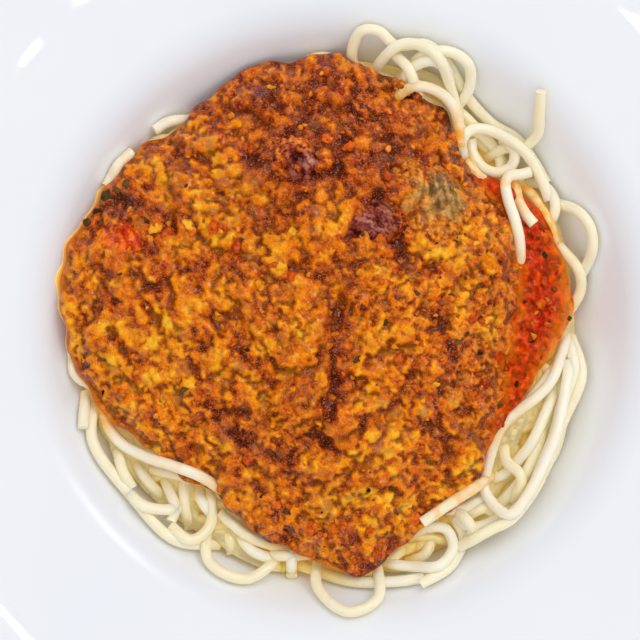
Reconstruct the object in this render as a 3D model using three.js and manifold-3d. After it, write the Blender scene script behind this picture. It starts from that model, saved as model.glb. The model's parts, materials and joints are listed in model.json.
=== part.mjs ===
// Spaghetti bolognese on its wide-rimmed pasta plate. Millimetres, +Z up.
// The origin is the plate's centre, on the surface that it stands on.

import * as THREE from 'three';
import { mergeVertices } from 'three/addons/utils/BufferGeometryUtils.js';
import Module from 'manifold-3d';

const wasm = await Module();
wasm.setup();

// ---------------------------------------------------------------- sizes

const PLATE_RADIUS = 135;
const PLATE_SIDES = 56;
const CHINA = 4; // thickness of the china
const FOOT_INNER = 46;
const FOOT_OUTER = 50;
const FOOT_CHAMFER = 2; // how far the recess starts inside the foot ring
const FOOT_TAPER = 1; // how far the foot ring's outer side leans out
const RECESS = 2.5; // height of the underside inside the foot ring
const WELL_FLOOR = 7;
const FLOOR_RADIUS = 38; // the flat middle of the well
const FLOOR_BEND = 26; // radius of the bend from the floor to the wall
const WALL_SLOPE = THREE.MathUtils.degToRad(55);
const WALL_END = 66; // distance from the centre at which the wall starts to bend out to the rim
const SHOULDER = 14; // radius of the bend from the wall to the rim
const RIM_SLOPE = THREE.MathUtils.degToRad(10);
const ARC_STEPS = { floorBack: 3, shoulderBack: 2, edge: 4, shoulder: 4, floor: 5 };

const SAME = 1e-4; // points closer than this are one
const HAIR = 0.01; // rounding that a comparison allows for
const SLIVER = 0.02; // detail finer than this is closed up
const GAP = 0.35; // between neighbouring pieces
const PLATE_GAP = 0.8; // between the heap and the well
const SAUCE_GAP = 0.55; // between the sauces and the well

const HEAP_TOP = 26.5;
const HEAP_EDGE = 3.5; // height of the heap's edge above the well
const HEAP_RINGS = 10;
const HEAP_DOME = [4, 0.6]; // powers that give the heap its flat top and steep edge

const SAUCE_TOP = 38.5;
const SAUCE_LIP = 1.4; // thickness at the very edge
const SAUCE_RINGS = 18;
const EDGE_ROLL = 0.28; // share of the sauce's height that rises in its rounded edge
const ROLL_POWER = 8; // the higher, the tighter that edge
const DOME_POWER = 2.2; // the higher, the flatter the middle
const LUMP_COUNT = 70;
const LUMP_FIELD = [-65, 65];
const LUMP_RADIUS = [3.5, 7.5];
const LUMP_BIAS = 1.5; // above 1, small lumps outnumber large ones
const LUMP_RISE = 0.34; // height of a lump over its radius
const LUMP_SPACING = 0.62; // closest that two lumps lie, over the sum of their radii
const LUMP_INSET = 0.5; // share of a lump's radius that stays inside the sauce's edge
const LUMP_FADE = 6; // how fast lumps grow inwards from the edge

const TOMATO_DEPTH = 2.4;
const TOMATO_LIP = 0.6; // thickness at the very edge
const TOMATO_ROLL = 10;
const TOMATO_RINGS = 13;

const NOODLE_RADIUS = 1.25;
const NOODLE_SIDES = 6;
const BEDDING = 0.4; // how far a noodle sinks into what it lies on
const PLAN_STEP = 1; // spacing of a noodle's draped points
const STIFFNESS = 4; // passes that let a noodle bridge small hollows
const STRAIGHT_STEP = 9.5; // length of a noodle's facets where it runs straight
const BEND_STEP = 0.6; // and their turn in radians where it bends
const BEND_SAMPLES = 32; // places where its turning is measured
const OVER_SAUCE = 1.05; // how far the pile is raised above the sauces for the noodles over them

const CELL = 0.5; // grid of the pile's upper surface
const PILE_REACH = 72;

// Edge of the sauce in plan: the part that both sauces share, then each one's right-hand side.
const SHARED_EDGE = [
  [28, 38], [22, 51], [9, 57], [-4, 61], [-22, 57], [-37, 45], [-52, 33], [-63, 14],
  [-63, -6], [-54, -21], [-40, -33], [-29, -42], [-14, -52], [4, -58], [16, -51], [31, -39],
];
const MEAT_SIDE = [[35, -28], [39, -10], [42, 8], [37, 27]];
const TOMATO_SIDE = [[37, -26], [47, -12], [55, 3], [50, 20], [41, 31]];

// Edge of the bare heap of noodles in plan.
const HEAP_OUTLINE = [
  [55, 5], [51, 24], [36, 41], [18, 57], [-4, 60], [-26, 53], [-50, 33], [-61, 10],
  [-60, -12], [-53, -31], [-37, -47], [-18, -58], [3, -61], [24, -55], [42, -39], [54, -16],
];

// Noodles that show round the sauce, lowest first: places along each one in plan.
const TOP_NOODLES = [
  [[4, 59], [3, 64], [7, 66], [13, 64], [20, 62], [27, 59], [29, 52]],
  [[14, 51], [18, 53], [22, 53], [26, 50]],
  [[29, 53], [35, 46], [42, 42], [46, 43], [46, 47], [45, 52]],
  [[9, 57], [12, 61], [16, 63], [21, 60], [26, 52], [28, 42]],
  [[31, 41], [33, 37], [37, 34], [41, 36], [41, 40]],
  [[37, 31], [30, 37], [30, 42], [35, 45], [42, 39], [48, 33]],
];
const RIGHT_NOODLES = [
  [[52, 27], [58, 23], [59, 17], [57, 10]],
  [[50, 19], [56, 12], [57, 7], [54, 1]],
  [[44, 33], [50, 31], [51, 26], [48, 22]],
  [[55, -4], [57, -13], [52, -25], [47, -37], [38, -47], [29, -52]],
  [[52, -10], [46, -17], [42, -22]],
  [[51, -16], [44, -30], [39, -36], [35, -38]],
  [[54, -4], [49, -15], [38, -25], [35, -33], [34, -40], [39, -45], [43, -41], [50, -27], [54, -10]],
];
const BOTTOM_NOODLES = [
  [[-11, -57], [2, -61], [12, -61], [20, -60]],
  [[26, -45], [29, -51], [26, -57], [19, -61]],
  [[16, -51], [21, -49], [25, -53], [21, -58], [10, -57]],
  [[20, -47], [26, -43], [34, -38]],
  [[-5, -56], [-5, -62], [2, -67], [9, -64], [9, -57]],
];
const LEFT_NOODLES = [
  [[-57, -19], [-57, -28], [-48, -41], [-38, -51], [-28, -53]],
  [[-31, -49], [-30, -56], [-21, -60], [-13, -55]],
  [[-62, -7], [-61, -13], [-56, -16]],
  [[-36, -36], [-36, -43], [-35, -49]],
  [[-30, -39], [-30, -48], [-34, -51], [-39, -48]],
  [[-52, -30], [-50, -35], [-48, -39]],
  [[-44, -35], [-38, -36], [-31, -38]],
  [[-55, -20], [-53, -28], [-44, -32], [-33, -35]],
  [[-28, -45], [-20, -51], [-8, -55]],
];
// Noodles that lie on top of the two sauces.
const NOODLES_OVER_SAUCE = [
  [[38, 34], [40, 24], [42, 14]],
  [[42, 34], [41, 28], [43, 17]],
];

// Pieces large enough to stand out of the sauce: place, radii and turn about +Z in degrees.
const PIECES = [
  { name: 'meat_chunk', at: [20, 27], radii: [9, 6.5, 4.5], turn: -35, color: 0x8a5f33, seed: 11 },
  { name: 'meat_piece_1', at: [-9, 36], radii: [5, 4.2, 3], turn: -40, color: 0x7a3d38, seed: 12 },
  { name: 'meat_piece_2', at: [7, 21], radii: [6, 4, 3], turn: 10, color: 0x74363a, seed: 13 },
  { name: 'tomato_piece', at: [-50, 18], radii: [4.6, 3.8, 2.6], turn: -20, color: 0xc8401c, seed: 14 },
];
const PIECE_BUMPS = 0.16; // unevenness, over the radius
const PIECE_LIFT = 0.25; // how far a piece's centre stands above the sauce, over its height

const CUT_FOOT = -6; // what is cut away starts below the plate
const BLOCK_FOOT = -7; // and what it is cut from reaches lower still
const COLUMN_HEAD = 60; // columns end above the food
const OUTLINE_SAMPLES = 720;

// ---------------------------------------------------------------- helpers

// Small seeded generator of numbers from 0 to 1 (mulberry32).
function seeded(seed) {
  let state = seed >>> 0;
  return () => {
    state = (state + 0x6d2b79f5) >>> 0;
    let t = state;
    t = Math.imul(t ^ (t >>> 15), t | 1);
    t ^= t + Math.imul(t ^ (t >>> 7), t | 61);
    return ((t ^ (t >>> 14)) >>> 0) / 4294967296;
  };
}

const between = ([low, high], share) => low + (high - low) * share;

// A closed three.js geometry as a manifold solid.
function solid(geometry) {
  const bare = geometry.clone();
  bare.deleteAttribute('normal');
  bare.deleteAttribute('uv');
  const merged = mergeVertices(bare, SAME);
  const index = merged.index.array;
  const kept = [];
  for (let i = 0; i < index.length; i += 3) {
    const [a, b, c] = [index[i], index[i + 1], index[i + 2]];
    if (a !== b && b !== c && c !== a) kept.push(a, b, c);
  }
  return new wasm.Manifold(new wasm.Mesh({
    numProp: 3,
    vertProperties: new Float32Array(merged.attributes.position.array),
    triVerts: new Uint32Array(kept),
  }));
}

function geometryOf(manifold) {
  const mesh = manifold.getMesh();
  const geometry = new THREE.BufferGeometry();
  geometry.setAttribute('position', new THREE.BufferAttribute(new Float32Array(mesh.vertProperties), 3));
  geometry.setIndex(new THREE.BufferAttribute(new Uint32Array(mesh.triVerts), 1));
  geometry.computeVertexNormals();
  return geometry;
}

// The largest single body: loose scraps are dropped, slivers closed up and sealed hollows filled.
// It is taken twice, because a mesh's rounded numbers can pinch off a scrap of their own.
function largestBody(manifold) {
  const largest = (whole) => whole.decompose()
    .reduce((best, body) => (body.volume() > best.volume() ? body : best));
  return largest(solid(geometryOf(largest(manifold).simplify(SLIVER))));
}

const curveThrough = (places, closed) =>
  new THREE.CatmullRomCurve3(places.map(([x, y]) => new THREE.Vector3(x, y, 0)), closed, 'centripetal');

// The distance from the centre to a closed outline, as a function of the bearing.
function reachOf(places) {
  const samples = curveThrough(places, true).getSpacedPoints(OUTLINE_SAMPLES)
    .map((p) => ({ bearing: Math.atan2(p.y, p.x), reach: Math.hypot(p.x, p.y) }))
    .sort((p, q) => p.bearing - q.bearing);
  const last = samples.length - 1;
  samples.unshift({ bearing: samples[last].bearing - 2 * Math.PI, reach: samples[last].reach });
  samples.push({ bearing: samples[1].bearing + 2 * Math.PI, reach: samples[1].reach });
  return (x, y) => {
    const bearing = Math.atan2(y, x);
    let low = 0;
    let high = samples.length - 1;
    while (high - low > 1) {
      const middle = (low + high) >> 1;
      if (samples[middle].bearing <= bearing) low = middle;
      else high = middle;
    }
    const span = samples[high].bearing - samples[low].bearing || 1;
    const share = (bearing - samples[low].bearing) / span;
    return samples[low].reach + (samples[high].reach - samples[low].reach) * share;
  };
}

// A closed slab with rings of 6, 12, 18 ... points, so its triangles have an even size.
// place(share, bearing) gives x and y; top and bottom give the heights there.
function slab(rings, place, top, bottom) {
  const first = (ring) => (ring === 0 ? 0 : 1 + 3 * ring * (ring - 1));
  const count = first(rings + 1);
  const upper = [];
  const lower = [];
  for (let ring = 0; ring <= rings; ring++) {
    const points = Math.max(1, 6 * ring);
    for (let i = 0; i < points; i++) {
      const [x, y] = place(ring / rings, (2 * Math.PI * i) / points);
      upper.push(x, y, top(x, y));
      lower.push(x, y, bottom(x, y));
    }
  }
  const faces = [];
  const addPair = (a, b, c) => faces.push(a, b, c, count + a, count + c, count + b);
  for (let ring = 1; ring <= rings; ring++) {
    const outer = 6 * ring;
    const inner = Math.max(1, 6 * (ring - 1));
    for (let side = 0; side < 6; side++) {
      for (let step = 0; step < ring; step++) {
        const here = first(ring) + ((side * ring + step) % outer);
        const next = first(ring) + ((side * ring + step + 1) % outer);
        const inside = first(ring - 1) + ((side * (ring - 1) + step) % inner);
        addPair(inside, here, next);
        if (step < ring - 1) {
          const insideNext = first(ring - 1) + ((side * (ring - 1) + step + 1) % inner);
          addPair(inside, next, insideNext);
        }
      }
    }
  }
  const rim = 6 * rings;
  for (let i = 0; i < rim; i++) {
    const a = first(rings) + i;
    const b = first(rings) + ((i + 1) % rim);
    faces.push(a, count + a, count + b, a, count + b, b);
  }
  const geometry = new THREE.BufferGeometry();
  geometry.setAttribute('position', new THREE.Float32BufferAttribute([...upper, ...lower], 3));
  geometry.setIndex(faces);
  return solid(geometry);
}

// Places for a slab that fills an outline, grown by a margin.
function filling(reach, margin = 0) {
  return (share, bearing) => {
    const [c, s] = [Math.cos(bearing), Math.sin(bearing)];
    const radius = (reach(c, s) + margin) * share;
    return [radius * c, radius * s];
  };
}

// ---------------------------------------------------------------- surfaces of the food

// The centres of the bends at the wall's foot and head, as distance from the axis and height.
const footBend = [FLOOR_RADIUS, WELL_FLOOR + FLOOR_BEND];
const wallRise = (WALL_END - FLOOR_RADIUS - FLOOR_BEND * Math.sin(WALL_SLOPE)) * Math.tan(WALL_SLOPE);
const headBend = [
  WALL_END + SHOULDER * Math.sin(WALL_SLOPE),
  footBend[1] + wallRise - (FLOOR_BEND + SHOULDER) * Math.cos(WALL_SLOPE),
];

// The well's surface moved inwards by a clearance, as a height at a radius.
function wellAt(radius, clearance) {
  const shoulder = SHOULDER + clearance;
  const inward = Math.max(0, headBend[0] - radius);
  if (inward < shoulder * Math.sin(WALL_SLOPE)) {
    return headBend[1] + Math.sqrt(shoulder * shoulder - inward * inward);
  }
  const bend = FLOOR_BEND - clearance;
  const outward = Math.max(0, radius - FLOOR_RADIUS);
  const onBend = Math.min(outward, bend * Math.sin(WALL_SLOPE));
  return footBend[1] - Math.sqrt(bend * bend - onBend * onBend) + (outward - onBend) * Math.tan(WALL_SLOPE);
}

const meatReach = reachOf([...SHARED_EDGE, ...MEAT_SIDE]);
const sauceReach = reachOf([...SHARED_EDGE, ...TOMATO_SIDE]);
const heapReach = reachOf(HEAP_OUTLINE);

// The bare heap of noodles: a low dome with a steep edge.
function heapTop(x, y) {
  const reach = heapReach(x, y);
  const share = Math.min(1, Math.hypot(x, y) / reach);
  const edge = wellAt(reach, PLATE_GAP) + HEAP_EDGE;
  return edge + (HEAP_TOP - edge) * (1 - share ** HEAP_DOME[0]) ** HEAP_DOME[1];
}

// What the sauces lie on: the heap, and beyond its edge the well.
function underSauce(x, y) {
  const radius = Math.hypot(x, y);
  const well = wellAt(radius, SAUCE_GAP);
  return radius <= heapReach(x, y) + HAIR ? Math.max(well, heapTop(x, y) + GAP) : well;
}

function spreadLumps() {
  const random = seeded(7);
  const lumps = [];
  while (lumps.length < LUMP_COUNT) {
    const [x, y] = [between(LUMP_FIELD, random()), between(LUMP_FIELD, random())];
    const radius = between(LUMP_RADIUS, random() ** LUMP_BIAS);
    const inside = Math.hypot(x, y) + radius * LUMP_INSET < meatReach(x, y);
    const clear = lumps.every((l) => Math.hypot(l.x - x, l.y - y) > LUMP_SPACING * (l.radius + radius));
    if (inside && clear) lumps.push({ x, y, radius });
  }
  return lumps;
}

const lumps = spreadLumps();

function lumpRise(x, y) {
  return lumps.reduce((rise, lump) => {
    const share = Math.hypot(x - lump.x, y - lump.y) / lump.radius;
    return share < 1 ? Math.max(rise, LUMP_RISE * lump.radius * Math.sqrt(1 - share * share)) : rise;
  }, 0);
}

// The meat sauce: a rounded edge, then a gentle dome with lumps of mince.
function meatTop(x, y) {
  const reach = meatReach(x, y);
  const radius = Math.hypot(x, y);
  const share = Math.min(1, radius / reach);
  const [c, s] = radius > 0 ? [x / radius, y / radius] : [1, 0];
  const lip = Math.max(heapTop(reach * c, reach * s) + GAP, wellAt(reach, SAUCE_GAP)) + SAUCE_LIP;
  const roll = EDGE_ROLL * Math.sqrt(1 - share ** ROLL_POWER);
  const dome = (1 - EDGE_ROLL) * (1 - share ** DOME_POWER);
  const lumpy = lumpRise(x, y) * Math.min(1, LUMP_FADE * (1 - share));
  return lip + (SAUCE_TOP - lip) * (roll + dome) + lumpy;
}

// The tomato sauce: a thin, smooth coat with a rounded edge.
function tomatoTop(x, y) {
  const share = Math.min(1, Math.hypot(x, y) / sauceReach(x, y));
  return underSauce(x, y) + TOMATO_LIP + (TOMATO_DEPTH - TOMATO_LIP) * Math.sqrt(1 - share ** TOMATO_ROLL);
}

// ---------------------------------------------------------------- plate

// Out along the underside, round the edge, and back over the rim, the wall and the floor.
function plateProfile() {
  const edge = CHINA / 2;
  const rimEnd = PLATE_RADIUS - edge;
  const rimStart = headBend[0] - SHOULDER * Math.sin(RIM_SLOPE);
  const rimRise = (rimEnd - rimStart) * Math.tan(RIM_SLOPE);
  const rimTop = headBend[1] + SHOULDER * Math.cos(RIM_SLOPE) + rimRise;
  const footTop = FOOT_OUTER + FOOT_TAPER;
  const outerBend = FLOOR_BEND + CHINA;
  const underStart = Math.asin((footTop - FLOOR_RADIUS) / outerBend);
  const [down, up] = [-Math.PI / 2, Math.PI / 2];
  const arc = ([x, z], radius, from, to, steps) =>
    new THREE.EllipseCurve(x, z, radius, radius, from, to, to < from).getPoints(steps);
  return [
    new THREE.Vector2(0, RECESS),
    new THREE.Vector2(FOOT_INNER - FOOT_CHAMFER, RECESS),
    new THREE.Vector2(FOOT_INNER, 0),
    new THREE.Vector2(FOOT_OUTER, 0),
    ...arc(footBend, outerBend, down + underStart, down + WALL_SLOPE, ARC_STEPS.floorBack),
    ...arc(headBend, SHOULDER - CHINA, up + WALL_SLOPE, up + RIM_SLOPE, ARC_STEPS.shoulderBack),
    ...arc([rimEnd, rimTop - edge], edge, down, up, ARC_STEPS.edge),
    ...arc(headBend, SHOULDER, up + RIM_SLOPE, up + WALL_SLOPE, ARC_STEPS.shoulder),
    ...arc(footBend, FLOOR_BEND, down + WALL_SLOPE, down, ARC_STEPS.floor),
    new THREE.Vector2(0, WELL_FLOOR),
  ];
}

function plateGeometry() {
  return new THREE.LatheGeometry(plateProfile(), PLATE_SIDES).rotateX(Math.PI / 2);
}

// ---------------------------------------------------------------- sauces

// Everything that the sauces must stay above: the heap and the well.
function underlay() {
  const place = (share, bearing) => {
    const [c, s] = [Math.cos(bearing), Math.sin(bearing)];
    const reach = heapReach(c, s);
    const ring = Math.round(share * (HEAP_RINGS + 2));
    const radius = [reach * (ring / HEAP_RINGS), reach + GAP, WALL_END][Math.max(0, ring - HEAP_RINGS)];
    return [radius * c, radius * s];
  };
  return slab(HEAP_RINGS + 2, place, underSauce, () => CUT_FOOT);
}

const column = (reach, margin) =>
  slab(SAUCE_RINGS, filling(reach, margin), () => COLUMN_HEAD, () => BLOCK_FOOT);

function meatBlock(margin, lift) {
  const top = (x, y) => meatTop(x, y) + lift;
  return slab(SAUCE_RINGS, filling(meatReach, margin), top, () => BLOCK_FOOT - margin);
}

function tomatoBlock(margin, lift) {
  const top = (x, y) => tomatoTop(x, y) + lift;
  return slab(TOMATO_RINGS, filling(sauceReach, margin), top, () => BLOCK_FOOT - margin);
}

const meatSauce = () => largestBody(meatBlock(0, 0).subtract(underlay()));

const tomatoSauce = () =>
  largestBody(tomatoBlock(0, 0).subtract(column(meatReach, GAP)).subtract(underlay()));

// ---------------------------------------------------------------- noodles

// The pile's upper surface on a grid of cells, which rises as noodles are laid.
class Pile {
  constructor() {
    this.width = Math.round((2 * PILE_REACH) / CELL) + 1;
    this.heights = new Float64Array(this.width * this.width);
    this.raiseTo((x, y) => {
      const radius = Math.hypot(x, y);
      const well = wellAt(radius, PLATE_GAP + BEDDING);
      return radius < heapReach(x, y) ? Math.max(well, heapTop(x, y)) : well;
    });
  }

  raiseTo(surface) {
    for (let row = 0; row < this.width; row++) {
      for (let column = 0; column < this.width; column++) {
        const [x, y] = [column * CELL - PILE_REACH, row * CELL - PILE_REACH];
        const cell = row * this.width + column;
        this.heights[cell] = Math.max(this.heights[cell], surface(x, y));
      }
    }
  }

  // Calls use(cell, rise) for each cell under a ball at x, y; rise is the ball's half height there.
  under(x, y, use) {
    const firstCell = (place) => Math.ceil((place - NOODLE_RADIUS + PILE_REACH) / CELL);
    const lastCell = (place) => Math.floor((place + NOODLE_RADIUS + PILE_REACH) / CELL);
    for (let row = firstCell(y); row <= lastCell(y); row++) {
      for (let column = firstCell(x); column <= lastCell(x); column++) {
        const away = Math.hypot(column * CELL - PILE_REACH - x, row * CELL - PILE_REACH - y);
        if (away < NOODLE_RADIUS) {
          use(row * this.width + column, Math.sqrt(NOODLE_RADIUS * NOODLE_RADIUS - away * away));
        }
      }
    }
  }

  restingHeight(x, y) {
    let height = 0;
    this.under(x, y, (cell, rise) => {
      height = Math.max(height, this.heights[cell] + rise);
    });
    return height;
  }

  cover(point) {
    this.under(point.x, point.y, (cell, rise) => {
      this.heights[cell] = Math.max(this.heights[cell], point.z + rise);
    });
  }
}

// Lays one noodle on the pile along its places and gives its centre line.
function lay(pile, places) {
  const plan = curveThrough(places, false);
  const points = plan.getSpacedPoints(Math.ceil(plan.getLength() / PLAN_STEP));
  for (const point of points) point.z = pile.restingHeight(point.x, point.y) - BEDDING;
  for (let pass = 0; pass < STIFFNESS; pass++) {
    for (let i = 1; i < points.length - 1; i++) {
      points[i].z = Math.max(points[i].z, (points[i - 1].z + points[i + 1].z) / 2);
    }
  }
  for (const point of points) pile.cover(point);
  return new THREE.CatmullRomCurve3(points);
}

// More steps where the noodle bends more.
function stepsAlong(curve) {
  const length = curve.getLength();
  const tangents = Array.from({ length: BEND_SAMPLES + 1 }, (_, i) => curve.getTangentAt(i / BEND_SAMPLES));
  const turning = tangents.slice(1).reduce((sum, t, i) => sum + t.angleTo(tangents[i]), 0);
  return Math.ceil(length / STRAIGHT_STEP + turning / BEND_STEP);
}

function noodle(curve) {
  const section = new THREE.Shape(Array.from({ length: NOODLE_SIDES }, (_, i) => {
    const angle = (2 * Math.PI * i) / NOODLE_SIDES;
    return new THREE.Vector2(NOODLE_RADIUS * Math.cos(angle), NOODLE_RADIUS * Math.sin(angle));
  }));
  const settings = { steps: stepsAlong(curve), bevelEnabled: false, extrudePath: curve };
  return solid(new THREE.ExtrudeGeometry(section, settings));
}

// The heap with the noodles that show fused on: those beside the sauces, then those over them.
function spaghetti() {
  const pile = new Pile();
  const beside = [...LEFT_NOODLES, ...BOTTOM_NOODLES, ...RIGHT_NOODLES, ...TOP_NOODLES]
    .map((places) => noodle(lay(pile, places)));
  pile.raiseTo((x, y) => {
    const radius = Math.hypot(x, y);
    if (radius < meatReach(x, y)) return meatTop(x, y) + OVER_SAUCE;
    return radius < sauceReach(x, y) ? tomatoTop(x, y) + OVER_SAUCE : 0;
  });
  const over = NOODLES_OVER_SAUCE.map((places) => noodle(lay(pile, places)));
  const heap = slab(HEAP_RINGS, filling(heapReach), heapTop,
    (x, y) => wellAt(Math.hypot(x, y), PLATE_GAP));
  const showing = wasm.Manifold.union([...beside, ...over])
    .subtract(meatBlock(GAP, GAP))
    .subtract(tomatoBlock(GAP, GAP).subtract(column(meatReach, GAP)));
  return largestBody(heap.add(showing));
}

// ---------------------------------------------------------------- pieces in the sauce

// An uneven lump that lies in the sauce; the part below the sauce's surface is cut away.
function piece({ at: [x, y], radii, turn, seed }) {
  const geometry = mergeVertices(new THREE.IcosahedronGeometry(1, 1).deleteAttribute('normal')
    .deleteAttribute('uv'), SAME);
  const random = seeded(seed);
  const position = geometry.attributes.position;
  for (let i = 0; i < position.count; i++) {
    const size = 1 + PIECE_BUMPS * (2 * random() - 1);
    position.setXYZ(i, position.getX(i) * size, position.getY(i) * size, position.getZ(i) * size);
  }
  geometry.scale(...radii).rotateZ(THREE.MathUtils.degToRad(turn));
  geometry.translate(x, y, meatTop(x, y) + PIECE_LIFT * radii[2]);
  return largestBody(solid(geometry).subtract(meatBlock(0, GAP)));
}

// ---------------------------------------------------------------- the finished group

function finish(name, geometry, color, roughness) {
  const material = new THREE.MeshStandardMaterial({ color, roughness, metalness: 0 });
  const mesh = new THREE.Mesh(geometry, material);
  mesh.name = name;
  return mesh;
}

const dish = new THREE.Group();
dish.add(finish('plate', plateGeometry(), 0xf1f2f4, 0.15));
dish.add(finish('spaghetti', geometryOf(spaghetti()), 0xeee2b4, 0.4));
dish.add(finish('meat_sauce', geometryOf(meatSauce()), 0xa8480f, 0.45));
dish.add(finish('tomato_sauce', geometryOf(tomatoSauce()), 0xb52c0c, 0.3));
for (const one of PIECES) dish.add(finish(one.name, geometryOf(piece(one)), one.color, 0.5));

export default dish;
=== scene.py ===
import json
import math
from functools import lru_cache, partial

import bpy
import numpy as np
from bpy.props import FloatProperty, FloatVectorProperty, IntProperty, PointerProperty
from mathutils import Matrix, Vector

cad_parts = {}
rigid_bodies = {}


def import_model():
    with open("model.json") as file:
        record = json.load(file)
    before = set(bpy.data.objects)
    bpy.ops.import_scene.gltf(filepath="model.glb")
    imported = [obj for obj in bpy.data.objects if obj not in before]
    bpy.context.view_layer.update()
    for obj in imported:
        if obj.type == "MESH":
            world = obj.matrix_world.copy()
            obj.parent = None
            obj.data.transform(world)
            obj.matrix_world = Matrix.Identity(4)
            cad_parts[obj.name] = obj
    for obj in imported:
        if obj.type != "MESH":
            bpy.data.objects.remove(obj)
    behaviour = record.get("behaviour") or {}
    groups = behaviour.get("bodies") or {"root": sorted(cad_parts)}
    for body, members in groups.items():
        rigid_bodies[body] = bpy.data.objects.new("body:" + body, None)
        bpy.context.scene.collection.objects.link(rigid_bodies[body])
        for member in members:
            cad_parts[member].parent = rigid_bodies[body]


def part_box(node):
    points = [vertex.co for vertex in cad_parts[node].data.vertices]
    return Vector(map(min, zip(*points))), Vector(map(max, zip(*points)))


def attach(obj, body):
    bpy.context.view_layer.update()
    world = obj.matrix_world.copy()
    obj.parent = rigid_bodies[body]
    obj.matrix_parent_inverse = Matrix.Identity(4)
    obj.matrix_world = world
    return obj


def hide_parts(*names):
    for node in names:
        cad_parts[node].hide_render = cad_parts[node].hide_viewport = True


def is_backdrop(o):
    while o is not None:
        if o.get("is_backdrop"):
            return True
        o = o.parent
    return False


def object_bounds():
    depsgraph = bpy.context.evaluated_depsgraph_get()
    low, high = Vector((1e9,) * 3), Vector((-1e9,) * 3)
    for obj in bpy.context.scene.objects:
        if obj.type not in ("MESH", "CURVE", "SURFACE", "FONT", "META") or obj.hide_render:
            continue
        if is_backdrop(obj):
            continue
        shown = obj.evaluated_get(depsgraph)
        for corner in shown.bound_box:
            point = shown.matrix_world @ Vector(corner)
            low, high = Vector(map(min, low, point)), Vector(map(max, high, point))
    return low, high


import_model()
cad_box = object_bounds()

bl_info = {
    "name": "Spaghetti bolognese on its plate",
    "version": (1, 0, 0),
    "blender": (4, 5, 0),
    "location": "View3D > Sidebar > Bolognese",
    "description": "Dresses the frame: glazed plate, boiled strands, meat sauce and its bits",
    "category": "Object",
}

# Lengths in the tables and helpers below are millimetres. Meshes are made in metres.
MM = 0.001
TURN = 2 * math.pi

# ---- shape of the dish

plate_low, plate_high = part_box("plate")
PLATE_RADIUS = plate_high[0] / MM
PLATE_HEIGHT = plate_high[2] / MM
CHINA = 4.0  # thickness of the wall and the rim
FOOT_INNER, FOOT_OUTER = 46.0, 50.0  # radii of the foot ring
FOOT_TAPER = 1.0  # how far the foot ring's outer side leans out
RECESS = 2.5  # height of the underside within the foot ring
WELL_FLOOR = 7.0  # height of the well's floor
FLOOR_RADIUS = 38.0  # the flat middle of the well
FLOOR_BEND = 26.0  # radius of the bend from the floor to the wall
WALL_SLOPE = math.radians(55)
WALL_END = 66.0  # distance from the centre at which the wall starts to bend out to the rim
SHOULDER = 14.0  # radius of the bend from the wall to the rim
RIM_SLOPE = math.radians(10)

# The centres of the bends at the wall's foot and head, as distance from the axis and height.
FOOT_BEND = (FLOOR_RADIUS, WELL_FLOOR + FLOOR_BEND)
WALL_RISE = (WALL_END - FLOOR_RADIUS - FLOOR_BEND * math.sin(WALL_SLOPE)) * math.tan(WALL_SLOPE)
HEAD_BEND = (
    WALL_END + SHOULDER * math.sin(WALL_SLOPE),
    FOOT_BEND[1] + WALL_RISE - (FLOOR_BEND + SHOULDER) * math.cos(WALL_SLOPE),
)

# ---- shape of the food

# Edge of the sauce in plan: the part that both sauces share, then each one's right-hand side.
SHARED_EDGE = [
    (28, 38), (22, 51), (9, 57), (-4, 61), (-22, 57), (-37, 45), (-52, 33), (-63, 14),
    (-63, -6), (-54, -21), (-40, -33), (-29, -42), (-14, -52), (4, -58), (16, -51), (31, -39),
]
MEAT_SIDE = [(35, -28), (39, -10), (42, 8), (37, 27)]
TOMATO_SIDE = [(37, -26), (47, -12), (55, 3), (50, 20), (41, 31)]

# Edge of the bare heap of strands in plan.
HEAP_OUTLINE = [
    (55, 5), (51, 24), (36, 41), (18, 57), (-4, 60), (-26, 53), (-50, 33), (-61, 10),
    (-60, -12), (-53, -31), (-37, -47), (-18, -58), (3, -61), (24, -55), (42, -39), (54, -16),
]
HEAP_TOP = 26.5  # height of the heap's middle
HEAP_EDGE = 3.5  # height of its edge above the well
HEAP_GAP = 0.8  # between the heap and the well
HEAP_FLATNESS, HEAP_ROUNDING = 4, 0.6  # powers that keep its middle flat and round its edge
HEAP_SINK = 4.6  # how far the hidden core lies under the heap's upper surface

# Waves of the sauce's edge: how far, how many round it and where they start.
EDGE_WAVES = [(0.35, 13, 1.0), (0.30, 29, 0.4), (0.22, 53, 0.0)]
# Where the sauce's edge bulges out or is bitten in: place, how far, and half width in degrees.
EDGE_LOBES = [
    ((-17, 58), 1.3, 5), ((-4, 61), 1.0, 4), ((-33, 51), 1.2, 4), ((-44, 40), 1.0, 4),
    ((26, 47), 1.2, 4), ((-12, 57), -1.3, 3), ((20, 51), -1.4, 4), ((34, 30), -1.0, 4),
    ((-29, -40), -1.4, 5), ((5, -58), 1.2, 6), ((-52, -24), 0.9, 5),
]

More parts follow.
